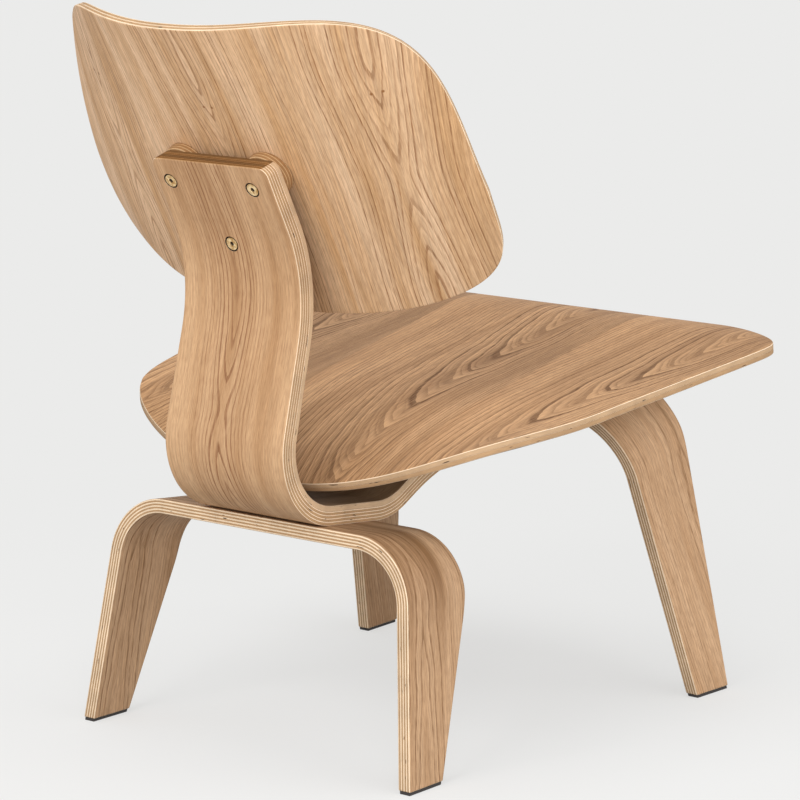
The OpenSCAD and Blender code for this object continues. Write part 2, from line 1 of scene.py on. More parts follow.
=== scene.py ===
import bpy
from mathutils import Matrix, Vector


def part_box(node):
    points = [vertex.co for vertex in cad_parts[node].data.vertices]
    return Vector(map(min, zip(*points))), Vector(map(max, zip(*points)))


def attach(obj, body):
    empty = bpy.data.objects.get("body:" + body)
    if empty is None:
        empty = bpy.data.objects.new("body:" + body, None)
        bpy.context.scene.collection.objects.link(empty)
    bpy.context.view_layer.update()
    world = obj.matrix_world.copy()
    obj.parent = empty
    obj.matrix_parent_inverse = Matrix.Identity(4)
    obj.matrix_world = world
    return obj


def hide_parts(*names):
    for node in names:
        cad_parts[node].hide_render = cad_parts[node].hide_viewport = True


bl_info = {
    "name": "Plywood lounge chair",
    "version": (1, 0, 0),
    "blender": (4, 5, 0),
    "location": "3D View > Sidebar > Chair",
    "description": "Builds a low lounge chair of moulded and bent plywood around its packed frame",
    "category": "Object",
}

import math
from collections import namedtuple

import bmesh
import bpy
from mathutils import Matrix, Vector

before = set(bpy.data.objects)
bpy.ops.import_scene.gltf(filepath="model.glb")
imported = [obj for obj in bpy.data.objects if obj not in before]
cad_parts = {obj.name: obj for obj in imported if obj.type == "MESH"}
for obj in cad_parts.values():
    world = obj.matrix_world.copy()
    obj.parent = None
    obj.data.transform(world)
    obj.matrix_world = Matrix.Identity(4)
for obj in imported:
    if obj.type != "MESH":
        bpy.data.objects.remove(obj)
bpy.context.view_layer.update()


# Properties

def length(name, about, millimetres):
    """A length that is given in millimetres and kept in metres."""
    return bpy.props.FloatProperty(
        name=name, description=about, default=millimetres / 1000, min=0, precision=4, unit="LENGTH"
    )


def angle(name, about, degrees):
    return bpy.props.FloatProperty(
        name=name, description=about, default=math.radians(degrees), unit="ROTATION"
    )


def linear(code):
    """An sRGB hex code as a linear colour."""
    parts = [int(code[i:i + 2], 16) / 255 for i in (1, 3, 5)]
    return [p / 12.92 if p <= 0.04045 else ((p + 0.055) / 1.055) ** 2.4 for p in parts] + [1.0]


def colour(name, about, code):
    return bpy.props.FloatVectorProperty(
        name=name, description=about, default=linear(code), size=4, min=0, max=1, subtype="COLOR"
    )


class LegSizes(bpy.types.PropertyGroup):
    thickness: length("Thickness", "Thickness of the bent plywood of both pairs", 13.2)
    bar_width: length("Bar width", "Width of a crossbar, front to back", 82)
    foot_width: length("Foot width", "Width of a foot, front to back", 46.5)
    taper_radius: length("Taper radius", "Radius that eases the taper into the bend", 140)
    rear_height: length("Rear height", "Height of the middle of the rear crossbar's top", 211.3)
    rear_span: length("Rear span", "Distance over the two rear feet", 385.7)
    rear_splay: angle("Rear splay", "Slant of a rear leg out to its side", 6.5)
    rear_tilt: angle("Rear tilt", "Slant of the rear pair to the back", 5.8)
    rear_bend: length("Rear bend", "Outer radius of the rear bends", 61.5)
    rear_set_back: length("Rear set-back", "Distance that a rear foot lies behind its pair's middle", 21.5)
    front_span: length("Front span", "Distance over the two front feet", 420.2)
    front_splay: angle("Front splay", "Slant of a front leg out to its side", 7.5)
    front_bend: length("Front bend", "Outer radius of the front bends", 79.6)
    front_set_back: length("Front set-back", "Distance that a front foot lies behind its pair's middle", 33.6)
    glide: length("Glide", "Height of the pad under a foot", 3)


class SpineSizes(bpy.types.PropertyGroup):
    thickness: length("Thickness", "Thickness of the spine", 18.1)
    width: length("Width", "Width of the spine under the seat", 138.1)
    top_width: length("Top width", "Width of the spine at its top edge", 132.3)
    taper: length("Taper", "Length below the top edge over which the width grows", 285)
    corner: length("Corner", "Radius of the two top corners", 9)
    end_lean: angle("End lean", "Slant of the top edge down to the front, from square", 11)
    heel_setback: length("Heel set-back", "Distance from the rear bar's rear edge to the heel bend", 19.2)
    heel: length("Heel", "Radius of the heel bend, on the rear face", 72.3)
    lean: angle("Lean", "Lean of the riser to the front", 14.2)
    riser: length("Riser", "Length of the straight riser", 81)
    waist: length("Waist", "Radius of the waist bend, on the rear face", 141.9)
    recline: angle("Recline", "Recline of the straight top", 27.1)
    top: length("Top", "Length of the straight top", 64.1)
    knee: length("Knee", "Radius of the knee bend, on the under face", 76)
    rise: angle("Rise", "Rise in front of the knee", 27.8)
    run: length("Run", "Length of the straight in front of the knee", 16)
    toe: length("Toe", "Radius of the slight toe bend, on the under face", 200)
    toe_turn: angle("Toe turn", "Turn of the toe bend back to the level", 8.3)
    lap: length("Lap", "Length of the straight over the front crossbar", 232)


class PanelSizes(bpy.types.PropertyGroup):
    back_thickness: length("Back thickness", "Thickness of the back panel", 8)
    back_width: length("Back width", "Width over the two wings", 444.5)
    back_length: length("Back length", "Height of the back panel along its recline", 303.6)
    back_recline: angle("Back recline", "Recline of the back panel", 30.9)
    back_hang: length("Back hang", "Distance from the lower edge to the upper bolts", 149.5)
    back_gap: length("Back gap", "Gap between the spine and the panel at the upper bolts", 9.4)
    wing_low: length("Lower wing", "Distance that the wings come forward at the lower edge", 65.1)
    wing_mid: length("Middle wing", "Distance that the wings come forward at mid height", 60.1)
    wing_top: length("Upper wing", "Distance that the wings come forward at the upper corners", 130)
    back_bow: length("Back bow", "Distance that the upper and lower edges bow to the rear", 8.9)
    seat_thickness: length("Seat thickness", "Thickness of the seat panel", 10)
    seat_length: length("Seat length", "Length of the seat, rear edge to front edge", 492)
    seat_front: length("Seat front", "Width that the sides would reach at the front edge", 596.5)
    seat_rear: length("Seat rear", "Width of the seat at its rear edge", 441.5)
    seat_bow: length("Seat bow", "Width of the front edge's bow, one seat length back", 1280)
    seat_behind: length("Seat behind", "Distance from the front crossbar to the seat's rear edge", 335.6)
    seat_gap: length("Seat gap", "Gap between the spine and the seat at the front bolts", 12.6)
    seat_rise: length("Seat rise", "Rise of the seat over its length", 72.5)
    seat_dip: length("Seat dip", "Depth of the dip at the rear edge", 41.5)
    seat_drop: length("Seat drop", "Drop of the front edge", 29.7)
    side_lift: length("Side lift", "Lift of the sides at the rear", 56.8)


class BoltSizes(bpy.types.PropertyGroup):
    head: length("Head", "Diameter of the countersunk heads", 12)
    head_height: length("Head height", "Height of the heads", 3.3)
    rim: length("Rim", "Rim of the heads above the countersink", 0.6)
    clearance: length("Clearance", "Room around a head where the bore opens", 1.4)
    sink: length("Sink", "Depth of the heads below the wood", 0.3)
    shank: length("Shank", "Diameter of the bolts", 6)
    gap: length("Gap", "Clearance of a bolt in wood, on the radius", 0.3)
    back_span: length("Back span", "Distance between the two upper back bolts", 94)
    back_shift: length("Back shift", "Distance that the back bolts lie off the middle", 4.5)
    back_drop: length("Back drop", "Distance from the spine's top edge to the upper bolts", 23.8)
    back_pitch: length("Back pitch", "Distance from the upper bolts to the lower one", 60)
    seat_span: length("Seat span", "Distance between the bolts of a seat pair", 84)
    seat_pitch: length("Seat pitch", "Distance from the front seat bolts to the rear ones", 85)
    rear_leg_span: length("Rear leg span", "Distance between the rows of rear leg bolts", 80)
    front_leg_span: length("Front leg span", "Distance between the rows of front leg bolts", 36)
    leg_pitch: length("Leg pitch", "Distance between the leg bolts of a row", 30)


class ChairColours(bpy.types.PropertyGroup):
    back_light: colour("Back, light", "Late wood of the back panel's veneer", "#E4C09B")
    back_deep: colour("Back, deep", "Warmer patches of the back panel's veneer", "#CAA074")
    back_line: colour("Back, line", "Early wood lines of the back panel's veneer", "#865A36")
    seat_light: colour("Seat, light", "Late wood of the seat panel's veneer", "#CFA377")
    seat_deep: colour("Seat, deep", "Warmer patches of the seat panel's veneer", "#B38960")
    seat_line: colour("Seat, line", "Early wood lines of the seat panel's veneer", "#5F3D21")
    spine_light: colour("Spine, light", "Late wood of the spine's veneer", "#C9A37C")
    spine_deep: colour("Spine, deep", "Warmer patches of the spine's veneer", "#AF8760")
    spine_line: colour("Spine, line", "Early wood lines of the spine's veneer", "#815638")
    leg_light: colour("Leg, light", "Late wood of the legs' veneer", "#CBA682")
    leg_deep: colour("Leg, deep", "Warmer patches of the legs' veneer", "#B68F6A")
    leg_line: colour("Leg, line", "Early wood lines of the legs' veneer", "#775434")
    ply_long: colour("Ply, long grain", "Plies that show their long grain on an edge", "#E8D0B2")
    ply_cross: colour("Ply, end grain", "Plies that show their end grain on an edge", "#B08C66")
    ply_glue: colour("Glue line", "Glue between two plies", "#76502F")
    # Cut end: the darker end grain of the spine's top end, with painted shade from the back panel that hangs
    # over it
    end_grain_and_shade: colour("Cut end", "What a sawn end keeps of its plies' tone under the lacquer", "#AC9470")
    ply_void: colour("Void", "Small open flaws in the inner plies", "#24170E")
    # The spacers' tones are the discs' own tan, set darker as painted shade of the narrow gaps between the
    # spine and the panels
    spacer_light: colour("Spacer, light", "Pale plies of the spacer discs", "#BC9A72")
    spacer_deep: colour("Spacer, deep", "Tan plies of the spacer discs", "#966F48")
    zinc: colour("Zinc", "Yellow passivated zinc of the bolts", "#FBDFAE")
    zinc_tint: colour("Zinc, tint", "Deeper gold patches of the bolts", "#B88A4E")
    # Hollow shade: painted shade in the bolt sockets and on the walls of the bolt holes in the wood
    hollow_shade: colour("Hollow shade", "Oil and dust in the sockets", "#2E2013")
    brass: colour("Brass", "Brass of the threaded inserts", "#C9A94F")
    glide: colour("Glide", "Dark pad under a foot", "#34302E")
    steel: colour("Steel", "Nail that holds a glide", "#A9A59C")
    backdrop: colour("Backdrop", "Pale grey of the floor and of what lies behind", "#EBEBEA")


# Side view: a place is a point and a heading, in radians up from +Y

def ahead(heading):
    return Vector((math.cos(heading), math.sin(heading)))


def leftward(heading):
    return Vector((-math.sin(heading), math.cos(heading)))


def beside(place, along, up=0.0):
    """The point at a distance along a place's heading and to its left."""
    return place[0] + along * ahead(place[1]) + up * leftward(place[1])


def length_of(moves):
    return sum(size * abs(turn) if turn else size for size, turn in moves)


def follow(moves, place, distance):
    """The place at a distance along a path of straights and bends that ends on a straight."""
    point, heading = place
    for size, turn in moves[:-1]:
        gone = min(distance, size * abs(turn) if turn else size)
        if turn:
            side = math.copysign(size, turn)
            centre = point + side * leftward(heading)
            heading += gone / side
            point = centre - side * leftward(heading)
        else:
            point = point + gone * ahead(heading)
        distance -= gone
        if distance <= 0:
            return point, heading
    return point + distance * ahead(heading), heading


# Shares and powers that shape the two panels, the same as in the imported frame
BACK_DISH_POWER = 2.34
BACK_WIDE_SHARE = 0.35
BACK_NARROW_SHARE = 0.095
# Power and root of the back's outline above its widest place and below it
BACK_TOP_POWERS = (3.56, 3.53)
BACK_LOW_POWERS = (4.23, 3.75)
SEAT_DIP_SHARE = 0.42
SEAT_DIP_POWER = 2.91
SEAT_DROP_SHARE = 0.232
SEAT_DROP_POWER = 2.44
SEAT_LIFT_SHARE = 0.35
SEAT_LIFT_POWER = 2.07
SEAT_SIDE_POWER = 2.37
SEAT_REAR_POWER = 5.4
SEAT_REAR_ROOT = 2.25
SEAT_CORNER_POWER = 25.5
# Share of the seat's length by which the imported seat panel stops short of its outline's ends
END_SHARE = 0.0005
# Half of the distance over which the slant of a panel is measured
PROBE = 0.0005


def back_skin(p):
    """Height of the back panel's front face over its chord, at a place across and up the panel."""
    def height(x, y):
        c = 2 * y / p.back_length - 1
        bend = (p.wing_top + p.wing_low) / 2 - p.wing_mid
        wing = p.wing_mid + (p.wing_top - p.wing_low) / 2 * c + bend * c * c
        return wing * (abs(x) / (p.back_width / 2)) ** BACK_DISH_POWER - p.back_bow * c * c
    return height


def seat_skin(p):
    """Height of the seat's upper face over its rear edge, at a place across and along the panel."""
    def height(x, y):
        a = -y / p.seat_length
        dip = p.seat_dip * max(0, 1 - a / SEAT_DIP_SHARE) ** SEAT_DIP_POWER
        drop = p.seat_drop * max(0, 1 - (1 - a) / SEAT_DROP_SHARE) ** SEAT_DROP_POWER
        lift = p.side_lift * max(0, 1 - a / SEAT_LIFT_SHARE) ** SEAT_LIFT_POWER
        half = (p.seat_front + p.seat_rear) / 4
        return p.seat_rise * a - dip - drop + lift * (abs(x) / half) ** SEAT_SIDE_POWER
    return height


def back_half(p):
    """Half of the back panel's width at a share of its height."""
    def half(v):
        if v > BACK_WIDE_SHARE:
            c = (v - BACK_WIDE_SHARE) / (1 - BACK_WIDE_SHARE)
            narrow, (power, root) = BACK_NARROW_SHARE, BACK_TOP_POWERS
        else:
            c = 1 - v / BACK_WIDE_SHARE
            narrow, (power, root) = 0, BACK_LOW_POWERS
        return p.back_width / 2 * (1 - narrow * c) * max(0, 1 - c ** power) ** (1 / root)
    return half


def seat_half(p):
    """Half of the seat's width at a share of its length from the rear edge."""
    def half(v):
        width = p.seat_rear + (p.seat_front - p.seat_rear) * v
        side = width / 2 * max(0, 1 - max(0, 1 - 2 * v) ** SEAT_REAR_POWER) ** (1 / SEAT_REAR_ROOT)
        bow = p.seat_bow / 2 * math.sqrt(max(0, 1 - v))
        least, most = sorted((side, bow))
        return least * (1 + (least / most) ** SEAT_CORNER_POWER) ** (-1 / SEAT_CORNER_POWER)
    return half


def normal_of(height, x, y):
    across = height(x + PROBE, y) - height(x - PROBE, y)
    along = height(x, y + PROBE) - height(x, y - PROBE)
    return Vector((-across, -along, 2 * PROBE)).normalized()


def hidden_height(height, thickness, y):
    """Height of the face away from the sitter on a panel's middle line."""
    return height(0, y) - thickness / normal_of(height, 0, y).z


class Layout:
    """Places of the pieces in the side view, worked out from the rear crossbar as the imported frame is."""

    def __init__(self, scene):
        legs, spine = scene.chair_legs, scene.chair_spine
        panels, bolts = scene.chair_panels, scene.chair_bolts
        self.rear_bar = (Vector((0, legs.rear_height)), legs.rear_tilt)
        heel = (beside(self.rear_bar, legs.bar_width / 2 - spine.heel_setback), legs.rear_tilt)
        flat = legs.bar_width - spine.heel_setback
        forward = [
            (flat, 0),
            (spine.knee, -(spine.rise + legs.rear_tilt)),
            (spine.run, 0),
            (spine.toe, spine.toe_turn),
            (spine.lap, 0),
        ]
        upward = [
            (spine.heel, math.pi / 2 + spine.lean - legs.rear_tilt),
            (spine.riser, 0),
            (spine.waist, -(spine.lean + spine.recline)),
            (spine.top, 0),
        ]
        turned = (heel[0], heel[1] + math.pi)
        end = follow(forward, turned, length_of(forward))[0]
        self.spine_start = (end, spine.toe_turn - spine.rise)
        self.spine_moves = [(size, -turn) for size, turn in reversed(forward)] + upward
        self.spine_length = length_of(self.spine_moves)
        self.front_bar = (beside(self.spine_start, legs.bar_width / 2), self.spine_start[1])

        self.back_pitch = bolts.back_pitch
        self.upper_bolt = self.spine_length - bolts.back_drop
        hook = beside(
            follow(self.spine_moves, self.spine_start, self.upper_bolt), 0, spine.thickness + panels.back_gap
        )
        heading = math.pi / 2 - panels.back_recline
        depth = hidden_height(back_skin(panels), panels.back_thickness, panels.back_hang)
        self.back = (beside((hook, heading), -panels.back_hang, -depth), heading)

        over = beside(self.front_bar, 0, spine.thickness + panels.seat_gap)
        rear = self.front_bar[0].x + panels.seat_behind
        depth = hidden_height(seat_skin(panels), panels.seat_thickness, over.x - rear)
        self.seat = (Vector((rear, over.y - depth)), 0.0)
        self.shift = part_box("seat_panel")[0].y - (rear - panels.seat_length * (1 - END_SHARE))

    def carrier(self, node):
        """The place on which a spacer or a bolt stands."""
        if node.startswith("back"):
            distance = self.upper_bolt - (self.back_pitch if node.endswith("lower") else 0)
            return follow(self.spine_moves, self.spine_start, distance)
        return self.rear_bar if node == "rear_leg_bolts" else self.front_bar

    def stand(self, place, co):
        """A point that is given across, along and off a place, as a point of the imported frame."""
        spot = beside(place, co.y, co.z)
        return Vector((co.x, spot.x + self.shift, spot.y))


# Bent plywood: each piece is made flat, marked with where its grain runs, and then bent

# Edges that bend by more than this are sharp. Faces of a CAD copy or a board that bend by less merge.
EDGE_ANGLE = math.radians(35)
COPY_FLAT = math.radians(1)
BOARD_FLAT = math.radians(0.05)
# Vertices nearer than this are one, and vertices nearer than this to a cut lie on it
WELD = 1e-6
ON_CUT = 1e-7
# Places nearer than this are the same
CLOSE = 1e-5
# Area above which a face of a board gets a frame
WIDE_FACE = 0.0008
# Distance between the cuts of a straight, and the narrowest strip that a cut may leave beside another
STRAIGHT_STEP = 0.03
LEAST_STRIP = 0.0012
# Number of sides of a bolt hole
HOLE_SIDES = 40


def link_new(name, data):
    made = bpy.data.objects.new(name, data)
    bpy.context.scene.collection.objects.link(made)
    return made


def flat_board(width, long, thickness):
    """A board from the origin along +Y. Its outer face is at zero, and its thickness may go down."""
    bm = bmesh.new()
    size = Vector((width, long, abs(thickness)))
    place = Matrix.LocRotScale(Vector((0, long / 2, thickness / 2)), None, size)
    bmesh.ops.create_cube(bm, size=1, matrix=place)
    return bm


def cut(bm, point, across, clear=False):
    """Cuts all faces along a plane. With clear, what lies beyond the plane goes and the cut is closed."""
    made = bmesh.ops.bisect_plane(
        bm, geom=bm.verts[:] + bm.edges[:] + bm.faces[:], dist=ON_CUT, plane_co=point, plane_no=across,
        clear_outer=clear,
    )
    if clear:
        rim = [e for e in made["geom_cut"] if isinstance(e, bmesh.types.BMEdge)]
        bmesh.ops.edgeloop_fill(bm, edges=rim)


def cut_across(bm, y):
    cut(bm, (0, y, 0), (0, 1, 0))


def bevel(bm, edges, size, segments):
    bmesh.ops.bevel(
        bm, geom=edges, offset=size, offset_type="OFFSET", affect="EDGES", segments=segments, profile=0.5,
        material=-1,
    )


def round_corners(bm, edges, radius, segments):
    """Rounds upright edges of a board to a radius, seen on its face, and merges what stays flat."""
    for edge in edges:
        bevel(bm, [edge], radius * math.tan(edge.calc_face_angle() / 2), segments)
    bmesh.ops.dissolve_limit(
        bm, angle_limit=BOARD_FLAT, verts=bm.verts[:], edges=bm.edges[:], delimit={"NORMAL"}
    )


def sharp_edges(bm):
    return [e for e in bm.edges if len(e.link_faces) == 2 and e.calc_face_angle() > EDGE_ANGLE]


def soften(bm, radius, segments=3):
    """Sands all sharp edges round."""
    bevel(bm, sharp_edges(bm), radius, segments)


def frame_faces(bm, margin):
    """Frames the large faces of a board, so that they stay flat in the light."""
    wide = [f for f in bm.faces if f.calc_area() > WIDE_FACE]
    bmesh.ops.inset_individual(bm, faces=wide, thickness=margin, use_even_offset=True)


def countersink(bm, height, spots, bolts):
    """Sinks holes for bolt heads into the board's face at that height, at spots across and along."""
    flat = [f for f in bm.faces if all(abs(v.co.z - height) < CLOSE for v in f.verts)]
    if not flat:
        raise RuntimeError("the board has no face for its bolt holes")
    bore = bm.verts.layers.float.new("bore")
    face = max(flat, key=lambda f: f.calc_area())
    inward = -face.normal.z
    rim = list(face.edges)
    bmesh.ops.delete(bm, geom=[face], context="FACES_ONLY")
    mouth, rings = bolts.head / 2 + bolts.clearance, []
    for x, y in spots:
        centre = Vector((x, y, height))
        made = bmesh.ops.create_circle(
            bm, cap_ends=False, radius=mouth, segments=HOLE_SIDES, matrix=Matrix.Translation(centre)
        )
        rings.append((centre, list({e for v in made["verts"] for e in v.link_edges})))
    bmesh.ops.triangle_fill(bm, use_beauty=True, edges=rim + [e for _, ring in rings for e in ring])
    steps = [
        (bolts.sink + bolts.rim, 1.0),
        (bolts.head_height - bolts.rim, (bolts.shank / 2 + bolts.gap) / mouth),
    ]
    for centre, ring in rings:
        for down, shrink in steps:
            made = bmesh.ops.extrude_edge_only(bm, edges=ring)["geom"]
            verts = [g for g in made if isinstance(g, bmesh.types.BMVert)]
            for v in verts:
                v[bore] = 1.0
            ring = [g for g in made if isinstance(g, bmesh.types.BMEdge) and all(v in verts for v in g.verts)]
            bmesh.ops.translate(bm, verts=verts, vec=(0, 0, inward * down))
            bmesh.ops.scale(bm, verts=verts, vec=(shrink, shrink, 1), space=Matrix.Translation(-centre))
        bmesh.ops.edgeloop_fill(bm, edges=ring)


def bend_cuts(moves, bend_step):
    """Distances along a path at which a board is cut so that it bends smoothly."""
    cuts, start = [], 0.0
    for size, turn in moves:
        long = size * abs(turn) if turn else size
        count = max(1, math.ceil(abs(turn) / bend_step if turn else long / STRAIGHT_STEP))
        cuts += [start + long * i / count for i in range(count)]
        start += long
    return cuts[1:]


def mark_grain(bm, depth):
    """Marks where each vertex lies across, along and in depth."""
    grain = bm.verts.layers.float_vector.new("grain")
    for v in bm.verts:
        v[grain] = Vector((v.co.x, v.co.y, depth(v.co)))


def finish_piece(bm, name, material, nodes, shape=None):
    """Gives a flat board its grain and its final shape. Puts any piece in place of its CAD nodes."""
    if shape:
        mark_grain(bm, lambda co: abs(co.z))
        for v in bm.verts:
            v.co = shape(v.co)
    bmesh.ops.recalc_face_normals(bm, faces=bm.faces[:])
    for f in bm.faces:
        f.smooth = True
    for e in sharp_edges(bm):
        e.smooth = False
    mesh = bpy.data.meshes.new(name)
    bm.to_mesh(mesh)
    bm.free()
    mesh.materials.append(material)
    piece = link_new(name, mesh)
    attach(piece, "root")
    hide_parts(*nodes)


# Moulded panels: a grid fills the outline, gets its thickness, and is then pressed into the dish

# Number of places at which an outline is measured
OUTLINE_SAMPLES = 3000


def even_steps(points, count):
    """Points at even distances along a line."""
    lengths = [0.0]
    for a, b in zip(points, points[1:]):
        lengths.append(lengths[-1] + (b - a).length)
    places, i = [], 0
    for k in range(count + 1):
        want = lengths[-1] * k / count
        while i < len(points) - 2 and lengths[i + 1] < want:
            i += 1
        part = (want - lengths[i]) / (lengths[i + 1] - lengths[i])
        places.append(points[i].lerp(points[i + 1], min(1, part)))
    return places


def flat_panel(half, long, count):
    """A flat grid inside a rounded outline. Half gives half of its width at a share of its length."""
    shares = [(1 - math.cos(math.pi * i / OUTLINE_SAMPLES)) / 2 for i in range(OUTLINE_SAMPLES + 1)]
    edge = [Vector((half(v), long * v)) for v in shares]
    widest = max(p.x for p in edge)
    low = max(range(OUTLINE_SAMPLES), key=lambda i: edge[i].x / widest - edge[i].y / long)
    high = max(range(OUTLINE_SAMPLES), key=lambda i: edge[i].x / widest + edge[i].y / long)
    right = even_steps(edge[low:high + 1], count)
    from_low = even_steps(edge[:low + 1], count // 2)
    from_high = even_steps(edge[high:][::-1], count // 2)

    def flipped(points):
        return [Vector((-p.x, p.y)) for p in points]
    left = flipped(right)
    lower = flipped(from_low)[::-1] + from_low[1:]
    upper = flipped(from_high)[::-1] + from_high[1:]
    bm = bmesh.new()
    bmesh.ops.create_grid(bm, x_segments=count, y_segments=count, size=1)
    for vert in bm.verts:
        u, v = (vert.co.x + 1) / 2, (vert.co.y + 1) / 2
        i, j = round(u * count), round(v * count)
        corners = lower[0].lerp(lower[-1], u).lerp(upper[0].lerp(upper[-1], u), v)
        spot = lower[i].lerp(upper[i], v) + left[j].lerp(right[j], u) - corners
        vert.co = Vector((spot.x, spot.y, 0))
    return bm


def press(layout, place, height):
    """Presses a flat panel into its dish and stands it in its place. Depth counts from the sitter's face."""
    def shape(co):
        lean = normal_of(height, co.x, co.y)
        return layout.stand(place, Vector((co.x, co.y, height(co.x, co.y))) - abs(co.z) * lean)
    return shape


# Shader nodes

def add(tree, kind, *inputs, **settings):
    """Adds a shader node and returns its first output. Settings with a capital are its sockets."""
    node = tree.nodes.new("ShaderNode" + kind)
    for key, value in settings.items():
        if not key[0].isupper():
            setattr(node, key, value)
    sockets = [(node.inputs[i], value) for i, value in enumerate(inputs)]
    for key, value in settings.items():
        if key[0].isupper():
            name = key.replace("_", " ")
            sockets.append((next(s for s in node.inputs if s.name == name and s.enabled), value))
    for socket, value in sockets:
        if isinstance(value, bpy.types.NodeSocket):
            tree.links.new(value, socket)
        elif value is not None:
            socket.default_value = value
    return next((s for s in node.outputs if s.enabled), node)


def maths(tree, operation, *inputs):
    return add(tree, "Math", *inputs, operation=operation)


def reach_of(tree, vector):
    return add(tree, "VectorMath", vector, operation="LENGTH").node.outputs["Value"]


def noise(tree, place, cells, detail, **settings):
    """Noise with its own number of cells to a metre along each axis."""
    scaled = add(tree, "VectorMath", place, cells, operation="MULTIPLY")
    return add(tree, "TexNoise", scaled, Scale=1.0, Detail=detail, **settings)


def swing(tree, value, size):
    """A noise as a length that goes to both sides of zero."""
    return maths(tree, "MULTIPLY", maths(tree, "SUBTRACT", value, 0.5), size)


def yearly(tree, year):
    """A random value for each year ring."""
    return add(tree, "TexWhiteNoise", W=year, noise_dimensions="1D")


def spread(tree, value, low, high, start=0.0, end=1.0):
    """Carries a value over from one range to another and holds it at the ends."""
    return add(tree, "MapRange", value, From_Min=low, From_Max=high, To_Min=start, To_Max=end)


def blend(tree, share, a, b, kind="RGBA", **settings):
    return add(tree, "Mix", data_type=kind, Factor=share, A=a, B=b, **settings)


def brighten(tree, tone, share):
    return add(tree, "HueSaturation", Value=share, Color=tone)


def ramp(tree, value, stops, interpolation="LINEAR"):
    """Colours by a value, from a list of places and their colours."""
    output = add(tree, "ValToRGB", value)
    output.node.color_ramp.interpolation = interpolation
    elements = output.node.color_ramp.elements
    elements.remove(elements[1])
    elements[0].position, elements[0].color = stops[0]
    for place, tone in stops[1:]:
        elements.new(place).color = tone
    return output


def grain_of(tree):
    """Where a point lay on its flat board: the vector, and its parts across, along and in depth."""
    vector = add(tree, "Attribute", attribute_name="grain").node.outputs["Vector"]
    x, y, z = add(tree, "SeparateXYZ", vector).node.outputs
    return vector, x, y, z


def seen_directly(tree):
    """One for what the camera sees of a thing, also in a mirror or through glass, and zero for its light."""
    rays = add(tree, "LightPath").node.outputs
    direct = maths(tree, "MAXIMUM", rays["Is Camera Ray"], rays["Is Glossy Ray"])
    return maths(tree, "MAXIMUM", direct, rays["Is Transmission Ray"])


def new_material(name):
    material = bpy.data.materials.new(name)
    material.use_nodes = True
    material.node_tree.nodes.clear()
    return material, material.node_tree


def surface(tree, **sockets):
    shader = add(tree, "BsdfPrincipled", **sockets)
    add(tree, "OutputMaterial", Surface=shader)


# Materials

# Sizes of ash veneer and of birch plies, in metres. The pores are drawn three times as wide as real ones, to
# show at the picture's scale of almost a millimetre to a pixel, and the fibres are drawn as bundles.
FIBRE_WIDTH = 0.0013
FIBRE_LENGTH = 0.05
PORE_WIDTH = 0.0009
PORE_LENGTH = 0.010
VENEER = 0.0004
GLUE = 0.00016
# Length over which a leaf's arches ease into straight grain
RUN_EASE = 0.03
# Distances between the noises of a board's two faces, and between those of its leaves
FACE_SEED = 3.7
LEAF_SEED = 7.31
# Uneven width of the rings, in rings
UNEVEN = 1.3
# Half of a stain's length, where it is strongest and where it ends
STAIN_CORE = 0.03
STAIN_END = 0.12
# Width of the streaks on a sawn end, and how far the edges of a ply stray
SAWN_STREAK = 0.009
PLY_STRAY = 0.0004
# Depths below a face between which the flaws of the inner plies begin
FLAW_START = 0.001
FLAW_DEPTH = 0.0018
# Height of a pale and a tan ply of the turned discs together, and the share of the pale one
DISC_PLIES = 0.0034
DISC_PALE = 0.25

# Plies from the outer face inward: the share of the thickness, and how pale the ply is
BACK_PLIES = [(1, 0.9), (1.2, 0), (1, 0.7), (1.2, 0), (1, 0.9)]
SEAT_PLIES = [(1, 1), (3.2, 0.2), (0.5, 0.5), (3.2, 0.05), (1, 0.4)]
SPINE_PLIES = [(1.3, 1), *[(2.6, 0), (1.4, 0.95)] * 4, (6, 0.3), (1, 0.8)]
LEG_PLIES = [(5, 1), *[(4, 0), (5, 0.9)] * 4]


def leaf_of_veneer(t, x, y, leaf, sway, wave):
    """One leaf of veneer, a flat slice of a log, whose rings run as nested arches beside its leaning axis.
    Tight packs the rings of one side. At the waist the slice lies off the pith by the leaf's own pith, and
    less by the slope on both sides, up to the run. Gives the side from the axis and how far the pith is."""
    axis = maths(t, "MULTIPLY_ADD", y, -leaf["lean"], -leaf["axis"])
    side = maths(t, "ADD", maths(t, "ADD", x, axis), sway)
    tight = maths(t, "MULTIPLY_ADD", maths(t, "ABSOLUTE", side), -leaf["tight"], side)
    # A longer point makes the tips of the arches sharper
    flank = maths(t, "SQRT", maths(t, "MULTIPLY", maths(t, "ABSOLUTE", tight), 2 * leaf["point"]))
    away = maths(t, "SUBTRACT", y, leaf["waist"])
    away = maths(t, "SQRT", maths(t, "MULTIPLY_ADD", away, away, leaf["blunt"] ** 2))
    away = maths(t, "SMOOTH_MIN", away, leaf["run"], RUN_EASE)
    pith = maths(t, "MULTIPLY_ADD", away, -leaf["slope"], leaf["pith"])
    return side, reach_of(t, add(t, "CombineXYZ", tight, maths(t, "ADD", pith, wave), flank))


def figured(leaves, **looks):
    """How a veneer looks. Each leaf lies from its seam to the next. Sway, wave and ragged are how far its
    axis, its arches and its rings stray, and ring is a ring's width. The weakest ring, the softness of the
    early wood, the rows of fine lines and how broken all lines are come as shares. Past the fade the rings
    keep the share far. Tilt shades a leaf sideways, inner is the painted shade of the inner face, the face
    under or inside the chair, and stain is a stain's distance along the board. A knot has its distances
    beside and along the leaf, and its size."""
    return {"leaves": leaves, "contrast": 1.0, "tilt": 0.0, "inner": 1.0, "stain": None, "knots": [], **looks}


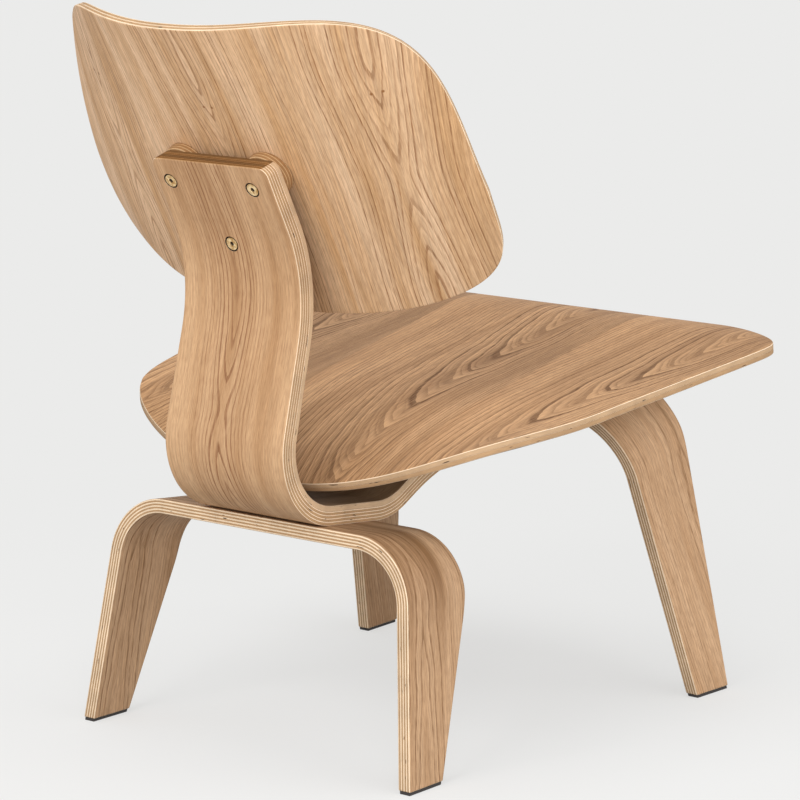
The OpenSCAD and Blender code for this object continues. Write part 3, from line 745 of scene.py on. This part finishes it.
def veneer(t, x, y, rear, tones, figure):
    """The face veneer's colour, with painted shade on its inner face, and its early wood, fibres and pores as
    shares.
    """
    light, deep, line_tone = tones
    leaves = figure["leaves"]
    seed = maths(t, "MULTIPLY_ADD", rear, FACE_SEED, figure["seed"])
    slow = add(t, "CombineXYZ", 0.0, maths(t, "MULTIPLY", y, 6.0), seed)
    sway = swing(t, noise(t, slow, (1, 1, 1), 1.0), figure["sway"])
    wave = swing(t, noise(t, slow, (3, 3, 1.7), 1.0), figure["wave"])
    number, bright = 0.0, leaves[0]["tone"]
    side, radius = leaf_of_veneer(t, x, y, leaves[0], sway, wave)
    for leaf in leaves[1:]:
        seam = maths(t, "MULTIPLY_ADD", y, -leaf["seam_lean"], -leaf["seam"])
        beyond = maths(t, "GREATER_THAN", maths(t, "ADD", x, seam), 0.0)
        own_side, own_radius = leaf_of_veneer(t, x, y, leaf, sway, wave)
        side = blend(t, beyond, side, own_side, "FLOAT")
        radius = blend(t, beyond, radius, own_radius, "FLOAT")
        bright = blend(t, beyond, bright, leaf["tone"], "FLOAT")
        number = maths(t, "ADD", number, beyond)
    plane = add(t, "CombineXYZ", x, y, maths(t, "MULTIPLY_ADD", number, LEAF_SEED, seed))

    # Rings with uneven widths and ragged tips. The dark early wood starts sharply and fades out.
    reach = maths(t, "ADD", radius, swing(t, noise(t, plane, (130, 14, 1), 3.0), figure["ragged"]))
    uneven = noise(t, add(t, "CombineXYZ", reach), (110, 0, 0), 2.0)
    rings = maths(t, "MULTIPLY_ADD", uneven, UNEVEN, maths(t, "DIVIDE", reach, figure["ring"]))
    year = maths(t, "FLOOR", rings)
    weight = maths(t, "POWER", yearly(t, maths(t, "ADD", year, 0.5)), 1.3)
    weight = spread(t, weight, 0.0, 1.0, figure["weakest"])
    soft = figure["soft"]
    shares = [
        (0, 0.9), (0.2, 1), (0.32, 0.55 * soft), (0.55, 0.3 * soft), (0.8, 0.1 * soft), (0.93, 0), (1, 0)
    ]
    early = ramp(t, maths(t, "FRACT", rings), [(place, (share, share, share, 1)) for place, share in shares])
    fade = spread(t, reach, figure["fade"], figure["fade"] * 2.2, 1.0, figure["far"])
    rows = maths(t, "FRACT", maths(t, "MULTIPLY", rings, 3.0))
    rows = spread(t, rows, 0.1, 0.6, figure["rows"], 0.0)
    early = maths(t, "MAXIMUM", maths(t, "MULTIPLY", early, weight), rows)
    dash = noise(t, plane, (900, 60, 1), 2.0, Roughness=0.7)
    dash = spread(t, dash, 0.38, 0.58, 1 - figure["broken"])
    early = maths(t, "MULTIPLY", maths(t, "MULTIPLY", early, fade), dash)

    # Fibres, and pores that open mostly in the early wood
    fibre = noise(t, plane, (1 / FIBRE_WIDTH, 1 / FIBRE_LENGTH, 1), 3.0, Roughness=0.65)
    pore = spread(t, noise(t, plane, (1 / PORE_WIDTH, 1 / PORE_LENGTH, 1), 2.0), 0.44, 0.62)
    pore = maths(t, "MULTIPLY", pore, spread(t, early, 0.0, 1.0, 0.55))

    # Warm patches, stains, darker years, lines and pores, one over the other
    broad = noise(t, plane, (60, 3, 1), 3.0)
    face = blend(t, spread(t, broad, 0.35, 0.65), light, deep)
    if figure["stain"]:
        near = maths(t, "ABSOLUTE", maths(t, "SUBTRACT", y, figure["stain"]))
        stain = spread(t, near, STAIN_END, STAIN_CORE)
        stain = maths(t, "MULTIPLY", spread(t, broad, 0.4, 0.66, 0.15, 0.9), stain)
        face = blend(t, stain, face, line_tone)
    band = maths(t, "MULTIPLY", maths(t, "POWER", yearly(t, year), 3.0), fade)
    for share, strength in ((band, "band"), (early, "contrast"), (pore, "pores")):
        face = blend(t, maths(t, "MULTIPLY", share, figure[strength]), face, line_tone)
    gleam = spread(t, fibre, 0.3, 0.7, 1 - figure["fibre"], 1 + figure["fibre"])
    tilt = maths(t, "MULTIPLY_ADD", side, figure["tilt"], bright)
    # Painted shade: the inner face, under or inside the chair, keeps only the share inner of its brightness
    tilt = maths(t, "MULTIPLY", tilt, spread(t, rear, 0.0, 1.0, 1.0, figure["inner"]))
    face = brighten(t, face, maths(t, "MULTIPLY", gleam, tilt))
    for aside, along, size in figure["knots"]:
        across = maths(t, "SUBTRACT", maths(t, "ABSOLUTE", side), aside)
        near = reach_of(t, add(t, "CombineXYZ", across, maths(t, "SUBTRACT", y, along)))
        face = blend(t, spread(t, near, size, size * 0.4), face, line_tone)
    return face, early, fibre, pore


def ply_edge(t, thickness, near, plies, sawn_end, colours):
    """The plies on a board's edge, with long grain and end grain in turn and glue between them. Gives the
    colour, and the specks and flaws as shares. A sawn end has its place along the board and its lean."""
    grain, x, y, z = grain_of(t)
    streak = noise(t, add(t, "CombineXYZ", x, y), (40, 40, 1), 3.0)
    depth = maths(t, "ADD", swing(t, streak, PLY_STRAY), z)
    whole, start, stops = sum(share for share, _ in plies), 0.0, []
    for share, paleness in plies:
        tone = [a + paleness * (b - a) for a, b in zip(colours.ply_cross, colours.ply_long)]
        stops.append((start / whole, tone))
        start += share
        stops.append((start / whole - GLUE / thickness, list(colours.ply_glue)))
    layer = ramp(t, maths(t, "DIVIDE", depth, thickness), stops[:-1], "CONSTANT")
    speck = spread(t, noise(t, grain, (180, 120, 1400), 2.0), 0.3, 0.7, 0.9, 1.07)
    edge = brighten(t, layer, maths(t, "MULTIPLY", speck, spread(t, streak, 0.3, 0.7, 0.86, 1.08)))
    flaw = spread(t, noise(t, grain, (75, 75, 650), 1.0), 0.725, 0.745)
    flaw = maths(t, "MULTIPLY", flaw, spread(t, near, FLAW_START, FLAW_DEPTH))
    edge = blend(t, flaw, edge, list(colours.ply_void))
    # A sawn end shows its darker end grain, and painted shade from the back panel over it
    if sawn_end:
        end = maths(t, "GREATER_THAN", maths(t, "MULTIPLY_ADD", z, sawn_end[1], y), sawn_end[0])
        turn = maths(t, "SINE", maths(t, "MULTIPLY", z, math.tau / SAWN_STREAK))
        sawn = brighten(t, list(colours.end_grain_and_shade), spread(t, turn, -1.0, 1.0, 0.75, 1.25))
        edge = blend(t, end, edge, sawn, blend_type="MULTIPLY")
    # Painted shade: the walls of the bolt holes take the dark hollow shade
    bore = add(t, "Attribute", attribute_name="bore").node.outputs["Fac"]
    return blend(t, bore, edge, list(colours.hollow_shade)), speck, flaw


def plywood(name, thickness, plies, tones, figure, colours, sawn_end=None):
    """Ash-faced birch plywood, pressed, sanded and finished with a clear matt lacquer: open grain lines with
    cathedral figures on the faces, and pale and tan plies with dark glue lines on the edges."""
    material, t = new_material(name)
    _, x, y, z = grain_of(t)
    rear = maths(t, "GREATER_THAN", z, thickness / 2)
    near = maths(t, "MINIMUM", z, maths(t, "SUBTRACT", thickness, z))
    face, early, fibre, pore = veneer(t, x, y, rear, tones, figure)
    edge, speck, flaw = ply_edge(t, thickness, near, plies, sawn_end, colours)

    # The face veneer shows where the depth is at either face
    is_edge = spread(t, near, VENEER * 0.7, VENEER)
    skin = blend(t, is_edge, face, edge)
    face_height = maths(t, "SUBTRACT", maths(t, "MULTIPLY", fibre, 0.4), pore)
    face_height = maths(t, "MULTIPLY_ADD", early, -0.4, face_height)
    edge_height = maths(t, "SUBTRACT", maths(t, "MULTIPLY", speck, 0.3), flaw)
    height = blend(t, is_edge, face_height, edge_height, "FLOAT")
    bump = add(t, "Bump", Height=height, Strength=0.6, Distance=0.0001)
    rough = blend(t, is_edge, spread(t, early, 0.0, 1.0, 0.55, 0.7), 0.75, "FLOAT")
    surface(t, Base_Color=skin, Roughness=rough, Specular_IOR_Level=0.2, Normal=bump)
    return material


def turned_plywood(colours):
    """Discs turned from birch plywood, sanded and lacquered: plies run round the rim in turn pale and tan."""
    material, t = new_material("birch_plywood_turned")
    z = grain_of(t)[-1]
    wood = noise(t, add(t, "TexCoord").node.outputs["Object"], (260, 260, 260), 3.0)
    ply = maths(t, "FRACT", maths(t, "DIVIDE", z, DISC_PLIES))
    # The two tones hold the discs' tan and painted shade of the gaps they sit in
    stops = [(0.0, list(colours.spacer_light)), (DISC_PALE, list(colours.spacer_deep))]
    tone = brighten(t, ramp(t, ply, stops, "CONSTANT"), spread(t, wood, 0.3, 0.7, 0.9, 1.08))
    bump = add(t, "Bump", Height=wood, Strength=0.3, Distance=0.00008)
    surface(t, Base_Color=tone, Roughness=0.65, Specular_IOR_Level=0.2, Normal=bump)
    return material


def metal(name, light, deep, hollow_shade_tone, roughness, spot_size):
    """Plated or turned metal with faint patches and rub marks, a few millimetres wide, and painted shade deep
    in its hollows.
    """
    material, t = new_material(name)
    place = add(t, "TexCoord").node.outputs["Object"]
    patch = add(t, "TexNoise", place, Scale=1 / spot_size, Detail=3.0)
    skin = blend(t, spread(t, patch, 0.35, 0.65), list(light), list(deep))
    rough = spread(t, patch, 0.0, 1.0, roughness - 0.08, roughness + 0.1)
    # Painted shade: in the socket and under the head, from about a millimetre below the wood's face, the
    # metal turns dark and matt
    hollow_shade = spread(t, grain_of(t)[-1], 0.0006, 0.0016)
    skin = blend(t, hollow_shade, skin, list(hollow_shade_tone))
    rough = blend(t, hollow_shade, rough, 0.9, "FLOAT")
    shine = maths(t, "SUBTRACT", 1.0, hollow_shade)
    bump = add(t, "Bump", Height=patch, Strength=0.2, Distance=0.00005)
    surface(t, Base_Color=skin, Metallic=shine, Roughness=rough, Normal=bump)
    return material


def felted_rubber(colours):
    """Dark felted rubber of the glides, cut from sheet: matt, with a short nap."""
    material, t = new_material("felted_rubber")
    nap = add(t, "TexNoise", add(t, "TexCoord").node.outputs["Object"], Scale=2200.0, Detail=3.0)
    skin = brighten(t, list(colours.glide), spread(t, nap, 0.0, 1.0, 0.7, 1.4))
    bump = add(t, "Bump", Height=nap, Strength=0.6, Distance=0.0002)
    surface(t, Base_Color=skin, Roughness=0.9, Normal=bump)
    return material


# Pieces

# Radii to which the edges of the pieces are sanded or turned
BACK_EDGE = 0.0011
SEAT_EDGE = 0.0012
SPINE_EDGE = 0.0014
LEG_EDGE = 0.0012
SPACER_EDGE = 0.0008
HEAD_EDGE = 0.00018
PAD_EDGE = 0.0005
# Numbers of strips in the moulded panels, and of steps in a rounded corner
BACK_STRIPS = 96
SEAT_STRIPS = 128
CORNER_STEPS = 6
# Turns after which a bend of the legs or the spine gets its next cut
LEG_BEND_STEP = math.radians(2)
SPINE_BEND_STEP = math.radians(1.5)
# Margins between the edge of a leg or the spine and the frame that keeps its faces flat
LEG_FRAME = 0.0007
SPINE_FRAME = 0.0008
# Length of a leg's board below the floor, before it is cut to the floor
SPARE = 0.06
# Step along a leg that measures how the board slants at its foot
FOOT_STEP = 0.01
# Depth of the sawn end grain below the spine's top edge, which also carries painted shade
SAWN_DEPTH = 0.0009
# A run of arches that is longer than any board
ENDLESS = 9.0

LegPair = namedtuple("LegPair", "bar span splay bend set_back middle bolt_span seat_rows")


def off_face(layout, place, start):
    """Height of a point over a face that lies at a start beside a place of the side view."""
    point, up = beside(place, 0, start), leftward(place[1])

    def height(co):
        return (Vector((co.y - layout.shift, co.z)) - point).dot(up)
    return height


def dressed_copy(name, node, material, radius, height=None):
    """A merged copy of a CAD node with soft edges. Its grain counts the height over what carries the node."""
    bm = bmesh.new()
    bm.from_mesh(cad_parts[node].data)
    bmesh.ops.remove_doubles(bm, verts=bm.verts[:], dist=WELD)
    bmesh.ops.dissolve_limit(bm, angle_limit=COPY_FLAT, verts=bm.verts[:], edges=bm.edges[:])
    soften(bm, radius, segments=2)
    if height:
        mark_grain(bm, height)
    finish_piece(bm, name, material, [node])


def paint_node(name, material):
    """Gives a CAD node that stays its material."""
    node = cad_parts[name]
    if not node.material_slots:
        node.data.materials.append(material)
    for place in node.material_slots:
        place.material = material


def wood_tones(colours, part):
    return [list(getattr(colours, part + tone)) for tone in ("_light", "_deep", "_line")]


def leg_pair(layout, sizes, bolts, pair):
    """A flat board with a taper at both ends, bent to a U and cut to the floor."""
    turn = math.pi / 2 - pair.splay
    drop = (pair.bar[0].y - sizes.glide) / math.cos(pair.bar[1])
    tangent = pair.bend * math.tan(turn / 2)
    leg = drop / math.cos(pair.splay) - tangent
    level = pair.span - 2 * drop * math.tan(pair.splay) - 2 * tangent
    moves = [(leg + SPARE, 0), (pair.bend, -turn), (level, 0), (pair.bend, -turn), (leg + SPARE, 0)]
    total = length_of(moves)
    start = (Vector((-pair.span / 2, -drop)) - SPARE * ahead(turn), turn)

    def shape(co):
        spot = beside(follow(moves, start, co.y), 0, co.z)
        placed = layout.stand(pair.bar, Vector((0, co.x, spot.y)))
        return Vector((spot.x, placed.y, placed.z))

    bm = flat_board(sizes.bar_width, total, -sizes.thickness)
    ends = (leg + SPARE, total - leg - SPARE)
    for y in ends:
        cut_across(bm, y)
    for v in bm.verts:
        if not ends[0] - CLOSE < v.co.y < ends[1] + CLOSE:
            foot = pair.set_back + math.copysign(sizes.foot_width / 2, v.co.x)
            v.co.x += (foot - v.co.x) * (leg + SPARE) / leg
    corners = [
        e for e in bm.edges
        if all(abs(a - b) < CLOSE for a, b in zip(e.verts[0].co.xy, e.verts[1].co.xy))
        and min(abs(e.verts[0].co.y - y) for y in ends) < CLOSE
    ]
    round_corners(bm, corners, sizes.taper_radius, CORNER_STEPS)
    for y, inward in ((0.0, 1), (total, -1)):
        # How the board's three axes rise at this foot tells where the floor cuts it
        foot, step = Vector((0, y, 0)), inward * FOOT_STEP
        at = shape(foot)
        rises = [shape(foot + Vector(a)).z - at.z for a in ((1, 0, 0), (0, step, 0), (0, 0, 1))]
        down = -Vector((rises[0], rises[1] / step, rises[2])).normalized()
        cut(bm, foot + down * (at.z - sizes.glide), down, clear=True)
    soften(bm, LEG_EDGE)
    frame_faces(bm, LEG_FRAME)
    rows = [(pair.middle + j * bolts.leg_pitch / 2, i * pair.bolt_span / 2) for i in (-1, 1) for j in (-1, 1)]
    rows += [(y, i * bolts.seat_span / 2) for y in pair.seat_rows for i in (-1, 1)]
    countersink(bm, -sizes.thickness, [(x, total / 2 + y) for x, y in rows], bolts)
    for y in bend_cuts(moves, LEG_BEND_STEP):
        cut_across(bm, y)
    return bm, shape


class CHAIR_OT_back_panel(bpy.types.Operator):
    """Moulds the back panel"""
    bl_idname = "chair.back_panel"
    bl_label = "Back panel"

    def execute(self, context):
        sizes, colours = context.scene.chair_panels, context.scene.chair_colours
        layout = Layout(context.scene)
        bm = flat_panel(back_half(sizes), sizes.back_length, BACK_STRIPS)
        bmesh.ops.solidify(bm, geom=bm.faces[:], thickness=sizes.back_thickness)
        soften(bm, BACK_EDGE)
        arches = {
            "lean": 0.0, "tight": 0.0, "waist": 0.135, "blunt": 0.012, "pith": 0.03, "slope": 0.13,
            "seam_lean": 0.0, "point": 0.006, "run": 0.11,
        }
        leaves = [
            # The leaf towards -X is darker: painted shade that tones down the strong light on that side of
            # the back
            {**arches, "axis": -0.16, "tone": 0.89},
            {**arches, "axis": -0.003, "seam": -0.08, "tone": 1.0},
            {**arches, "axis": 0.15, "seam": 0.075, "tone": 1.015},
        ]
        figure = figured(
            leaves, seed=2.0, sway=0.012, wave=0.003, ragged=0.0014, ring=0.0032, weakest=0.3, soft=0.5,
            rows=0.2, broken=0.5, fade=0.035, far=0.65, pores=0.38, fibre=0.18, band=0.12, tilt=0.3,
            knots=[(0.0045, 0.217, 0.0017)],
        )
        tones = wood_tones(colours, "back")
        material = plywood("ash_plywood_back_panel", sizes.back_thickness, BACK_PLIES, tones, figure, colours)
        pressed = press(layout, layout.back, back_skin(sizes))
        finish_piece(bm, "moulded_back_panel", material, ["back_panel"], pressed)
        return {"FINISHED"}


class CHAIR_OT_seat_panel(bpy.types.Operator):
    """Moulds the seat panel"""
    bl_idname = "chair.seat_panel"
    bl_label = "Seat panel"

    def execute(self, context):
        sizes, colours = context.scene.chair_panels, context.scene.chair_colours
        layout = Layout(context.scene)
        bm = flat_panel(seat_half(sizes), sizes.seat_length, SEAT_STRIPS)
        bmesh.ops.scale(bm, verts=bm.verts[:], vec=(1, -1, 1))
        bmesh.ops.solidify(bm, geom=bm.faces[:], thickness=sizes.seat_thickness)
        soften(bm, SEAT_EDGE)
        arches = {
            "tight": 0.25, "waist": 0.06, "blunt": 0.02, "pith": 0.07, "slope": 0.075, "point": 0.004,
            "run": ENDLESS, "tone": 1.0,
        }
        leaves = [
            {**arches, "axis": -0.187, "lean": 0.14},
            {**arches, "axis": -0.075, "lean": -0.06, "seam": -0.134, "seam_lean": -0.068},
            {**arches, "axis": 0.193, "lean": 0.1, "seam": 0.055, "seam_lean": -0.107},
        ]
        # Inner paints shade on the seat's underside
        figure = figured(
            leaves, seed=5.0, sway=0.016, wave=0.003, ragged=0.001, ring=0.0032, weakest=0.5, soft=0.7,
            rows=0.5, broken=0.4, fade=0.065, far=0.45, pores=0.35, fibre=0.17, band=0.2, tilt=1.2,
            inner=0.32,
        )
        tones = wood_tones(colours, "seat")
        material = plywood("ash_plywood_seat_panel", sizes.seat_thickness, SEAT_PLIES, tones, figure, colours)
        pressed = press(layout, layout.seat, seat_skin(sizes))
        finish_piece(bm, "moulded_seat_panel", material, ["seat_panel"], pressed)
        return {"FINISHED"}


class CHAIR_OT_spine(bpy.types.Operator):
    """Bends the spine that carries the seat and the back"""
    bl_idname = "chair.spine"
    bl_label = "Spine"

    def execute(self, context):
        scene = context.scene
        sizes, bolts = scene.chair_spine, scene.chair_bolts
        layout = Layout(scene)
        total = layout.spine_length
        taper_start = total - sizes.taper
        bm = flat_board(sizes.width, total, sizes.thickness)
        cut_across(bm, taper_start)
        top = [v for v in bm.verts if abs(v.co.y - total) < CLOSE]
        for v in top:
            v.co.x *= sizes.top_width / sizes.width
            v.co.y -= v.co.z * math.tan(sizes.end_lean)
        corners = [
            e for e in bm.edges
            if all(v in top for v in e.verts) and abs(e.verts[0].co.x - e.verts[1].co.x) < CLOSE
        ]
        round_corners(bm, corners, sizes.corner, CORNER_STEPS)
        soften(bm, SPINE_EDGE)
        frame_faces(bm, SPINE_FRAME)
        rear_seat_row = scene.chair_legs.bar_width / 2 + bolts.seat_pitch
        spots = [(bolts.back_shift + i * bolts.back_span / 2, layout.upper_bolt) for i in (1, -1)]
        spots.append((bolts.back_shift, layout.upper_bolt - bolts.back_pitch))
        spots += [(i * bolts.seat_span / 2, rear_seat_row) for i in (1, -1)]
        countersink(bm, 0.0, spots, bolts)
        for y in bend_cuts(layout.spine_moves, SPINE_BEND_STEP):
            if abs(y - taper_start) > LEAST_STRIP:
                cut_across(bm, y)

        def shape(co):
            place = follow(layout.spine_moves, layout.spine_start, co.y)
            return layout.stand(place, Vector((co.x, 0, co.z)))

        # The heel bend, the riser, the waist bend and the top are the last four moves
        heel = total - length_of(layout.spine_moves[-4:])
        leaf = {
            "axis": 0.006, "lean": 0.0, "tight": 0.0, "waist": heel + 0.134, "blunt": 0.004, "pith": 0.0185,
            "slope": 0.1, "point": 0.003, "run": 0.1, "tone": 1.0,
        }
        # Inner paints shade on the spine's inner face, under the seat and towards the back panel
        figure = figured(
            [leaf], seed=9.0, sway=0.022, wave=0.004, ragged=0.0018, ring=0.0036, weakest=0.45, soft=0.15,
            rows=0.15, broken=0.45, fade=0.021, far=0.2, pores=0.45, fibre=0.14, band=0.03, inner=0.6,
        )
        colours = scene.chair_colours
        material = plywood(
            "ash_plywood_spine", sizes.thickness, SPINE_PLIES, wood_tones(colours, "spine"), figure, colours,
            sawn_end=(total - SAWN_DEPTH, math.tan(sizes.end_lean)),
        )
        finish_piece(bm, "bent_spine", material, ["spine"], shape)
        return {"FINISHED"}


class CHAIR_OT_leg_pairs(bpy.types.Operator):
    """Bends the rear and the front pair of legs"""
    bl_idname = "chair.leg_pairs"
    bl_label = "Leg pairs"

    def execute(self, context):
        scene = context.scene
        sizes, bolts, colours = scene.chair_legs, scene.chair_bolts, scene.chair_colours
        layout = Layout(scene)
        leaf = {
            "lean": 0.0, "tight": 0.0, "waist": 0.4, "blunt": 0.1, "pith": 0.05, "slope": 0.03, "point": 0.01,
            "run": ENDLESS,
        }
        looks = {
            "sway": 0.012, "wave": 0.004, "ragged": 0.0018, "ring": 0.003, "weakest": 0.25, "soft": 0.4,
            "rows": 0.3, "broken": 0.6, "fade": 0.3, "far": 1.0, "pores": 0.45, "fibre": 0.17, "band": 0.06,
        }
        # Inner paints shade on the inner faces of the rear legs, under the crossbar
        rear_figure = figured(
            [{**leaf, "axis": 0.02, "tone": 1.0}], seed=4.0, contrast=0.85, inner=0.9, stain=0.27, **looks
        )
        # Inner paints shade on the front legs' inner faces; their tone of 1.05 is painted light that offsets
        # the seat's shadow on them
        front_figure = figured(
            [{**leaf, "axis": -0.03, "tone": 1.05}], seed=6.0, contrast=0.65, inner=0.78, **looks
        )
        # The rear bolts stand in the middle of the spine's flat that lies on the rear bar
        rear_pair = LegPair(
            layout.rear_bar, sizes.rear_span, sizes.rear_splay, sizes.rear_bend, sizes.rear_set_back,
            -scene.chair_spine.heel_setback / 2, bolts.rear_leg_span, [],
        )
        front_pair = LegPair(
            layout.front_bar, sizes.front_span, sizes.front_splay, sizes.front_bend, sizes.front_set_back,
            0.0, bolts.front_leg_span, [0.0],
        )
        tones = wood_tones(colours, "leg")
        both = (("rear_legs", rear_pair, rear_figure), ("front_legs", front_pair, front_figure))
        for node, pair, figure in both:
            material = plywood("ash_plywood_" + node, sizes.thickness, LEG_PLIES, tones, figure, colours)
            bm, shape = leg_pair(layout, sizes, bolts, pair)
            finish_piece(bm, "bent_" + node, material, [node], shape)
        return {"FINISHED"}


SPACERS = [
    "back_spacer_left", "back_spacer_right", "back_spacer_lower", "seat_spacer_front_left",
    "seat_spacer_front_right", "seat_spacer_rear_left", "seat_spacer_rear_right",
]
BOLTS = [name.replace("spacer", "bolt") for name in SPACERS] + ["rear_leg_bolts", "front_leg_bolts"]
INSERTS = [name.replace("bolt", "insert") for name in BOLTS]
GLIDES = ["glide_rear_left", "glide_rear_right", "glide_front_left", "glide_front_right"]


class CHAIR_OT_spacers(bpy.types.Operator):
    """Turns the wooden discs between the spine and the two panels"""
    bl_idname = "chair.spacers"
    bl_label = "Spacer discs"

    def execute(self, context):
        layout, thickness = Layout(context.scene), context.scene.chair_spine.thickness
        material = turned_plywood(context.scene.chair_colours)
        for node in SPACERS:
            height = off_face(layout, layout.carrier(node), thickness)
            dressed_copy("turned_" + node, node, material, SPACER_EDGE, height)
        return {"FINISHED"}


class CHAIR_OT_fasteners(bpy.types.Operator):
    """Finishes the bolts, the inserts and the nails"""
    bl_idname = "chair.fasteners"
    bl_label = "Fasteners"

    def execute(self, context):
        colours, layout = context.scene.chair_colours, Layout(context.scene)
        zinc = metal("zinc_yellow_passivated", colours.zinc, colours.zinc_tint, colours.hollow_shade, 0.24, 0.0035)
        brass = metal("brass_turned", colours.brass, colours.brass, colours.hollow_shade, 0.3, 0.003)
        steel = metal("steel_drawn", colours.steel, colours.steel, colours.hollow_shade, 0.35, 0.003)
        for node in BOLTS:
            under_bar = "front" in node or "leg" in node
            start = -context.scene.chair_legs.thickness if under_bar else 0.0
            height = off_face(layout, layout.carrier(node), start)
            dressed_copy("hex_socket_" + node, node, zinc, HEAD_EDGE, height)
        for node in INSERTS:
            paint_node(node, brass)
        paint_node("glide_nails", steel)
        return {"FINISHED"}


class CHAIR_OT_glides(bpy.types.Operator):
    """Cuts the pads under the feet"""
    bl_idname = "chair.glides"
    bl_label = "Glides"

    def execute(self, context):
        material = felted_rubber(context.scene.chair_colours)
        for node in GLIDES:
            dressed_copy("pad_" + node, node, material, PAD_EDGE)
        return {"FINISHED"}


# Stage

FLOOR_RADIUS = 6.0
# Distances from the middle between which the floor's shadows fade into the backdrop's tone, and the share of
# this tone before
SHADOW_START = 0.25
SHADOW_END = 1.1
BACKDROP_SHARE = 0.68
# Colour with which the floor throws back light, and strength of the light from all round
FLOOR_BOUNCE = (0.4, 0.4, 0.4, 1)
ROOM_LIGHT = 0.66
# The camera that was solved from the photo, with its focal length in the photo's pixels. The lamps face its
# target too.
TARGET = Vector((-0.0324, 0.0326, 0.3008))
AZIMUTH = math.radians(218.84)
ELEVATION = math.radians(10.97)
CAMERA_DISTANCE = 3.4259
FOCAL_PIXELS = 3759.9
PHOTO_PIXELS = 800
SENSOR_WIDTH = 36.0


def aim(thing, direction, distance):
    """Puts a lamp or the camera in a direction from the target, facing it."""
    thing.location = TARGET + distance * direction.normalized()
    thing.rotation_euler = (-direction).to_track_quat("-Z", "Y").to_euler()


def painted_floor(pale):
    """Painted studio floor: matt and pale. The camera sees mostly the backdrop's own tone, with a soft shadow
    round the feet that fades a step away, and the floor throws back less light than it seems to."""
    material, t = new_material("painted_floor_matt")
    away = reach_of(t, add(t, "TexCoord").node.outputs["Object"])
    direct = seen_directly(t)
    tone = blend(t, direct, FLOOR_BOUNCE, pale)
    paint = add(t, "BsdfPrincipled", Base_Color=tone, Roughness=0.9, Specular_IOR_Level=0.0)
    glow = add(t, "Emission", Color=pale, Strength=1.0)
    share = maths(t, "MULTIPLY", spread(t, away, SHADOW_START, SHADOW_END, BACKDROP_SHARE), direct)
    add(t, "OutputMaterial", Surface=add(t, "MixShader", share, paint, glow))
    return material


class CHAIR_OT_stage(bpy.types.Operator):
    """Sets up the floor, the studio light and the camera"""
    bl_idname = "chair.stage"
    bl_label = "Stage"

    def execute(self, context):
        scene = context.scene
        pale = list(scene.chair_colours.backdrop)
        bm = bmesh.new()
        bmesh.ops.create_circle(bm, cap_ends=True, radius=FLOOR_RADIUS, segments=96)
        mesh = bpy.data.meshes.new("studio_floor")
        bm.to_mesh(mesh)
        bm.free()
        mesh.materials.append(painted_floor(pale))
        floor = link_new("studio_floor", mesh)

        world = bpy.data.worlds.new("studio")
        scene.world = world
        world.use_nodes = True
        t = world.node_tree
        t.nodes.clear()
        around = add(t, "Background", Color=(1.0, 1.0, 1.0, 1.0), Strength=ROOM_LIGHT)
        behind = add(t, "Background", Color=pale, Strength=1.0)
        add(t, "OutputWorld", Surface=add(t, "MixShader", seen_directly(t), around, behind))

        data = bpy.data.cameras.new("studio_camera")
        data.sensor_width = SENSOR_WIDTH
        data.lens = FOCAL_PIXELS / PHOTO_PIXELS * SENSOR_WIDTH
        data.clip_start, data.clip_end = 0.1, 50
        scene.camera = link_new("studio_camera", data)
        level = math.cos(ELEVATION)
        toward = Vector((math.sin(AZIMUTH) * level, -math.cos(AZIMUTH) * level, math.sin(ELEVATION)))
        right, up = Vector((math.cos(AZIMUTH), math.sin(AZIMUTH), 0)), Vector((0, 0, 1))
        aim(scene.camera, toward, CAMERA_DISTANCE)

        # Each lamp has its direction, its distance and diameter in metres, and its power in watts
        lamps = {
            "key_softbox": (toward * 0.8 - right * 0.6 + up * 0.5, 2.6, 1.4, 30),
            "front_softbox": (toward + up * 0.02, 3.0, 1.2, 30),
            "right_softbox": (toward * 0.3 + right * 0.9 + up * 0.2, 2.6, 1.4, 10),
            "low_softbox": (toward * 0.7 + right * 0.7 - up * 0.02, 2.8, 1.2, 18),
            "top_softbox": (up, 2.4, 1.6, 14),
        }
        for name, (direction, distance, size, power) in lamps.items():
            data = bpy.data.lights.new(name, "AREA")
            data.shape, data.size, data.energy = "DISK", size, power
            aim(link_new(name, data), direction, distance)

        scene.view_settings.view_transform = "Standard"
        return {"FINISHED"}


class CHAIR_PT_pieces(bpy.types.Panel):
    bl_idname = "CHAIR_PT_pieces"
    bl_label = "Plywood lounge chair"
    bl_space_type = "VIEW_3D"
    bl_region_type = "UI"
    bl_category = "Chair"

    def draw(self, context):
        for operator in OPERATORS:
            self.layout.operator(operator.bl_idname)
        for group in GROUPS:
            owner = getattr(context.scene, group)
            for name in owner.__annotations__:
                self.layout.prop(owner, name)


GROUPS = {
    "chair_legs": LegSizes,
    "chair_spine": SpineSizes,
    "chair_panels": PanelSizes,
    "chair_bolts": BoltSizes,
    "chair_colours": ChairColours,
}
OPERATORS = [
    CHAIR_OT_back_panel,
    CHAIR_OT_seat_panel,
    CHAIR_OT_spine,
    CHAIR_OT_leg_pairs,
    CHAIR_OT_spacers,
    CHAIR_OT_fasteners,
    CHAIR_OT_glides,
    CHAIR_OT_stage,
]


def register():
    for group in [*GROUPS.values(), *OPERATORS, CHAIR_PT_pieces]:
        bpy.utils.register_class(group)
    for name, group in GROUPS.items():
        setattr(bpy.types.Scene, name, bpy.props.PointerProperty(type=group))


def unregister():
    for name in GROUPS:
        delattr(bpy.types.Scene, name)
    for group in reversed([*GROUPS.values(), *OPERATORS, CHAIR_PT_pieces]):
        bpy.utils.unregister_class(group)


def main():
    register()
    for operator in OPERATORS:
        getattr(bpy.ops.chair, operator.bl_idname.split(".")[1])()


if __name__ == "__main__":
    main()
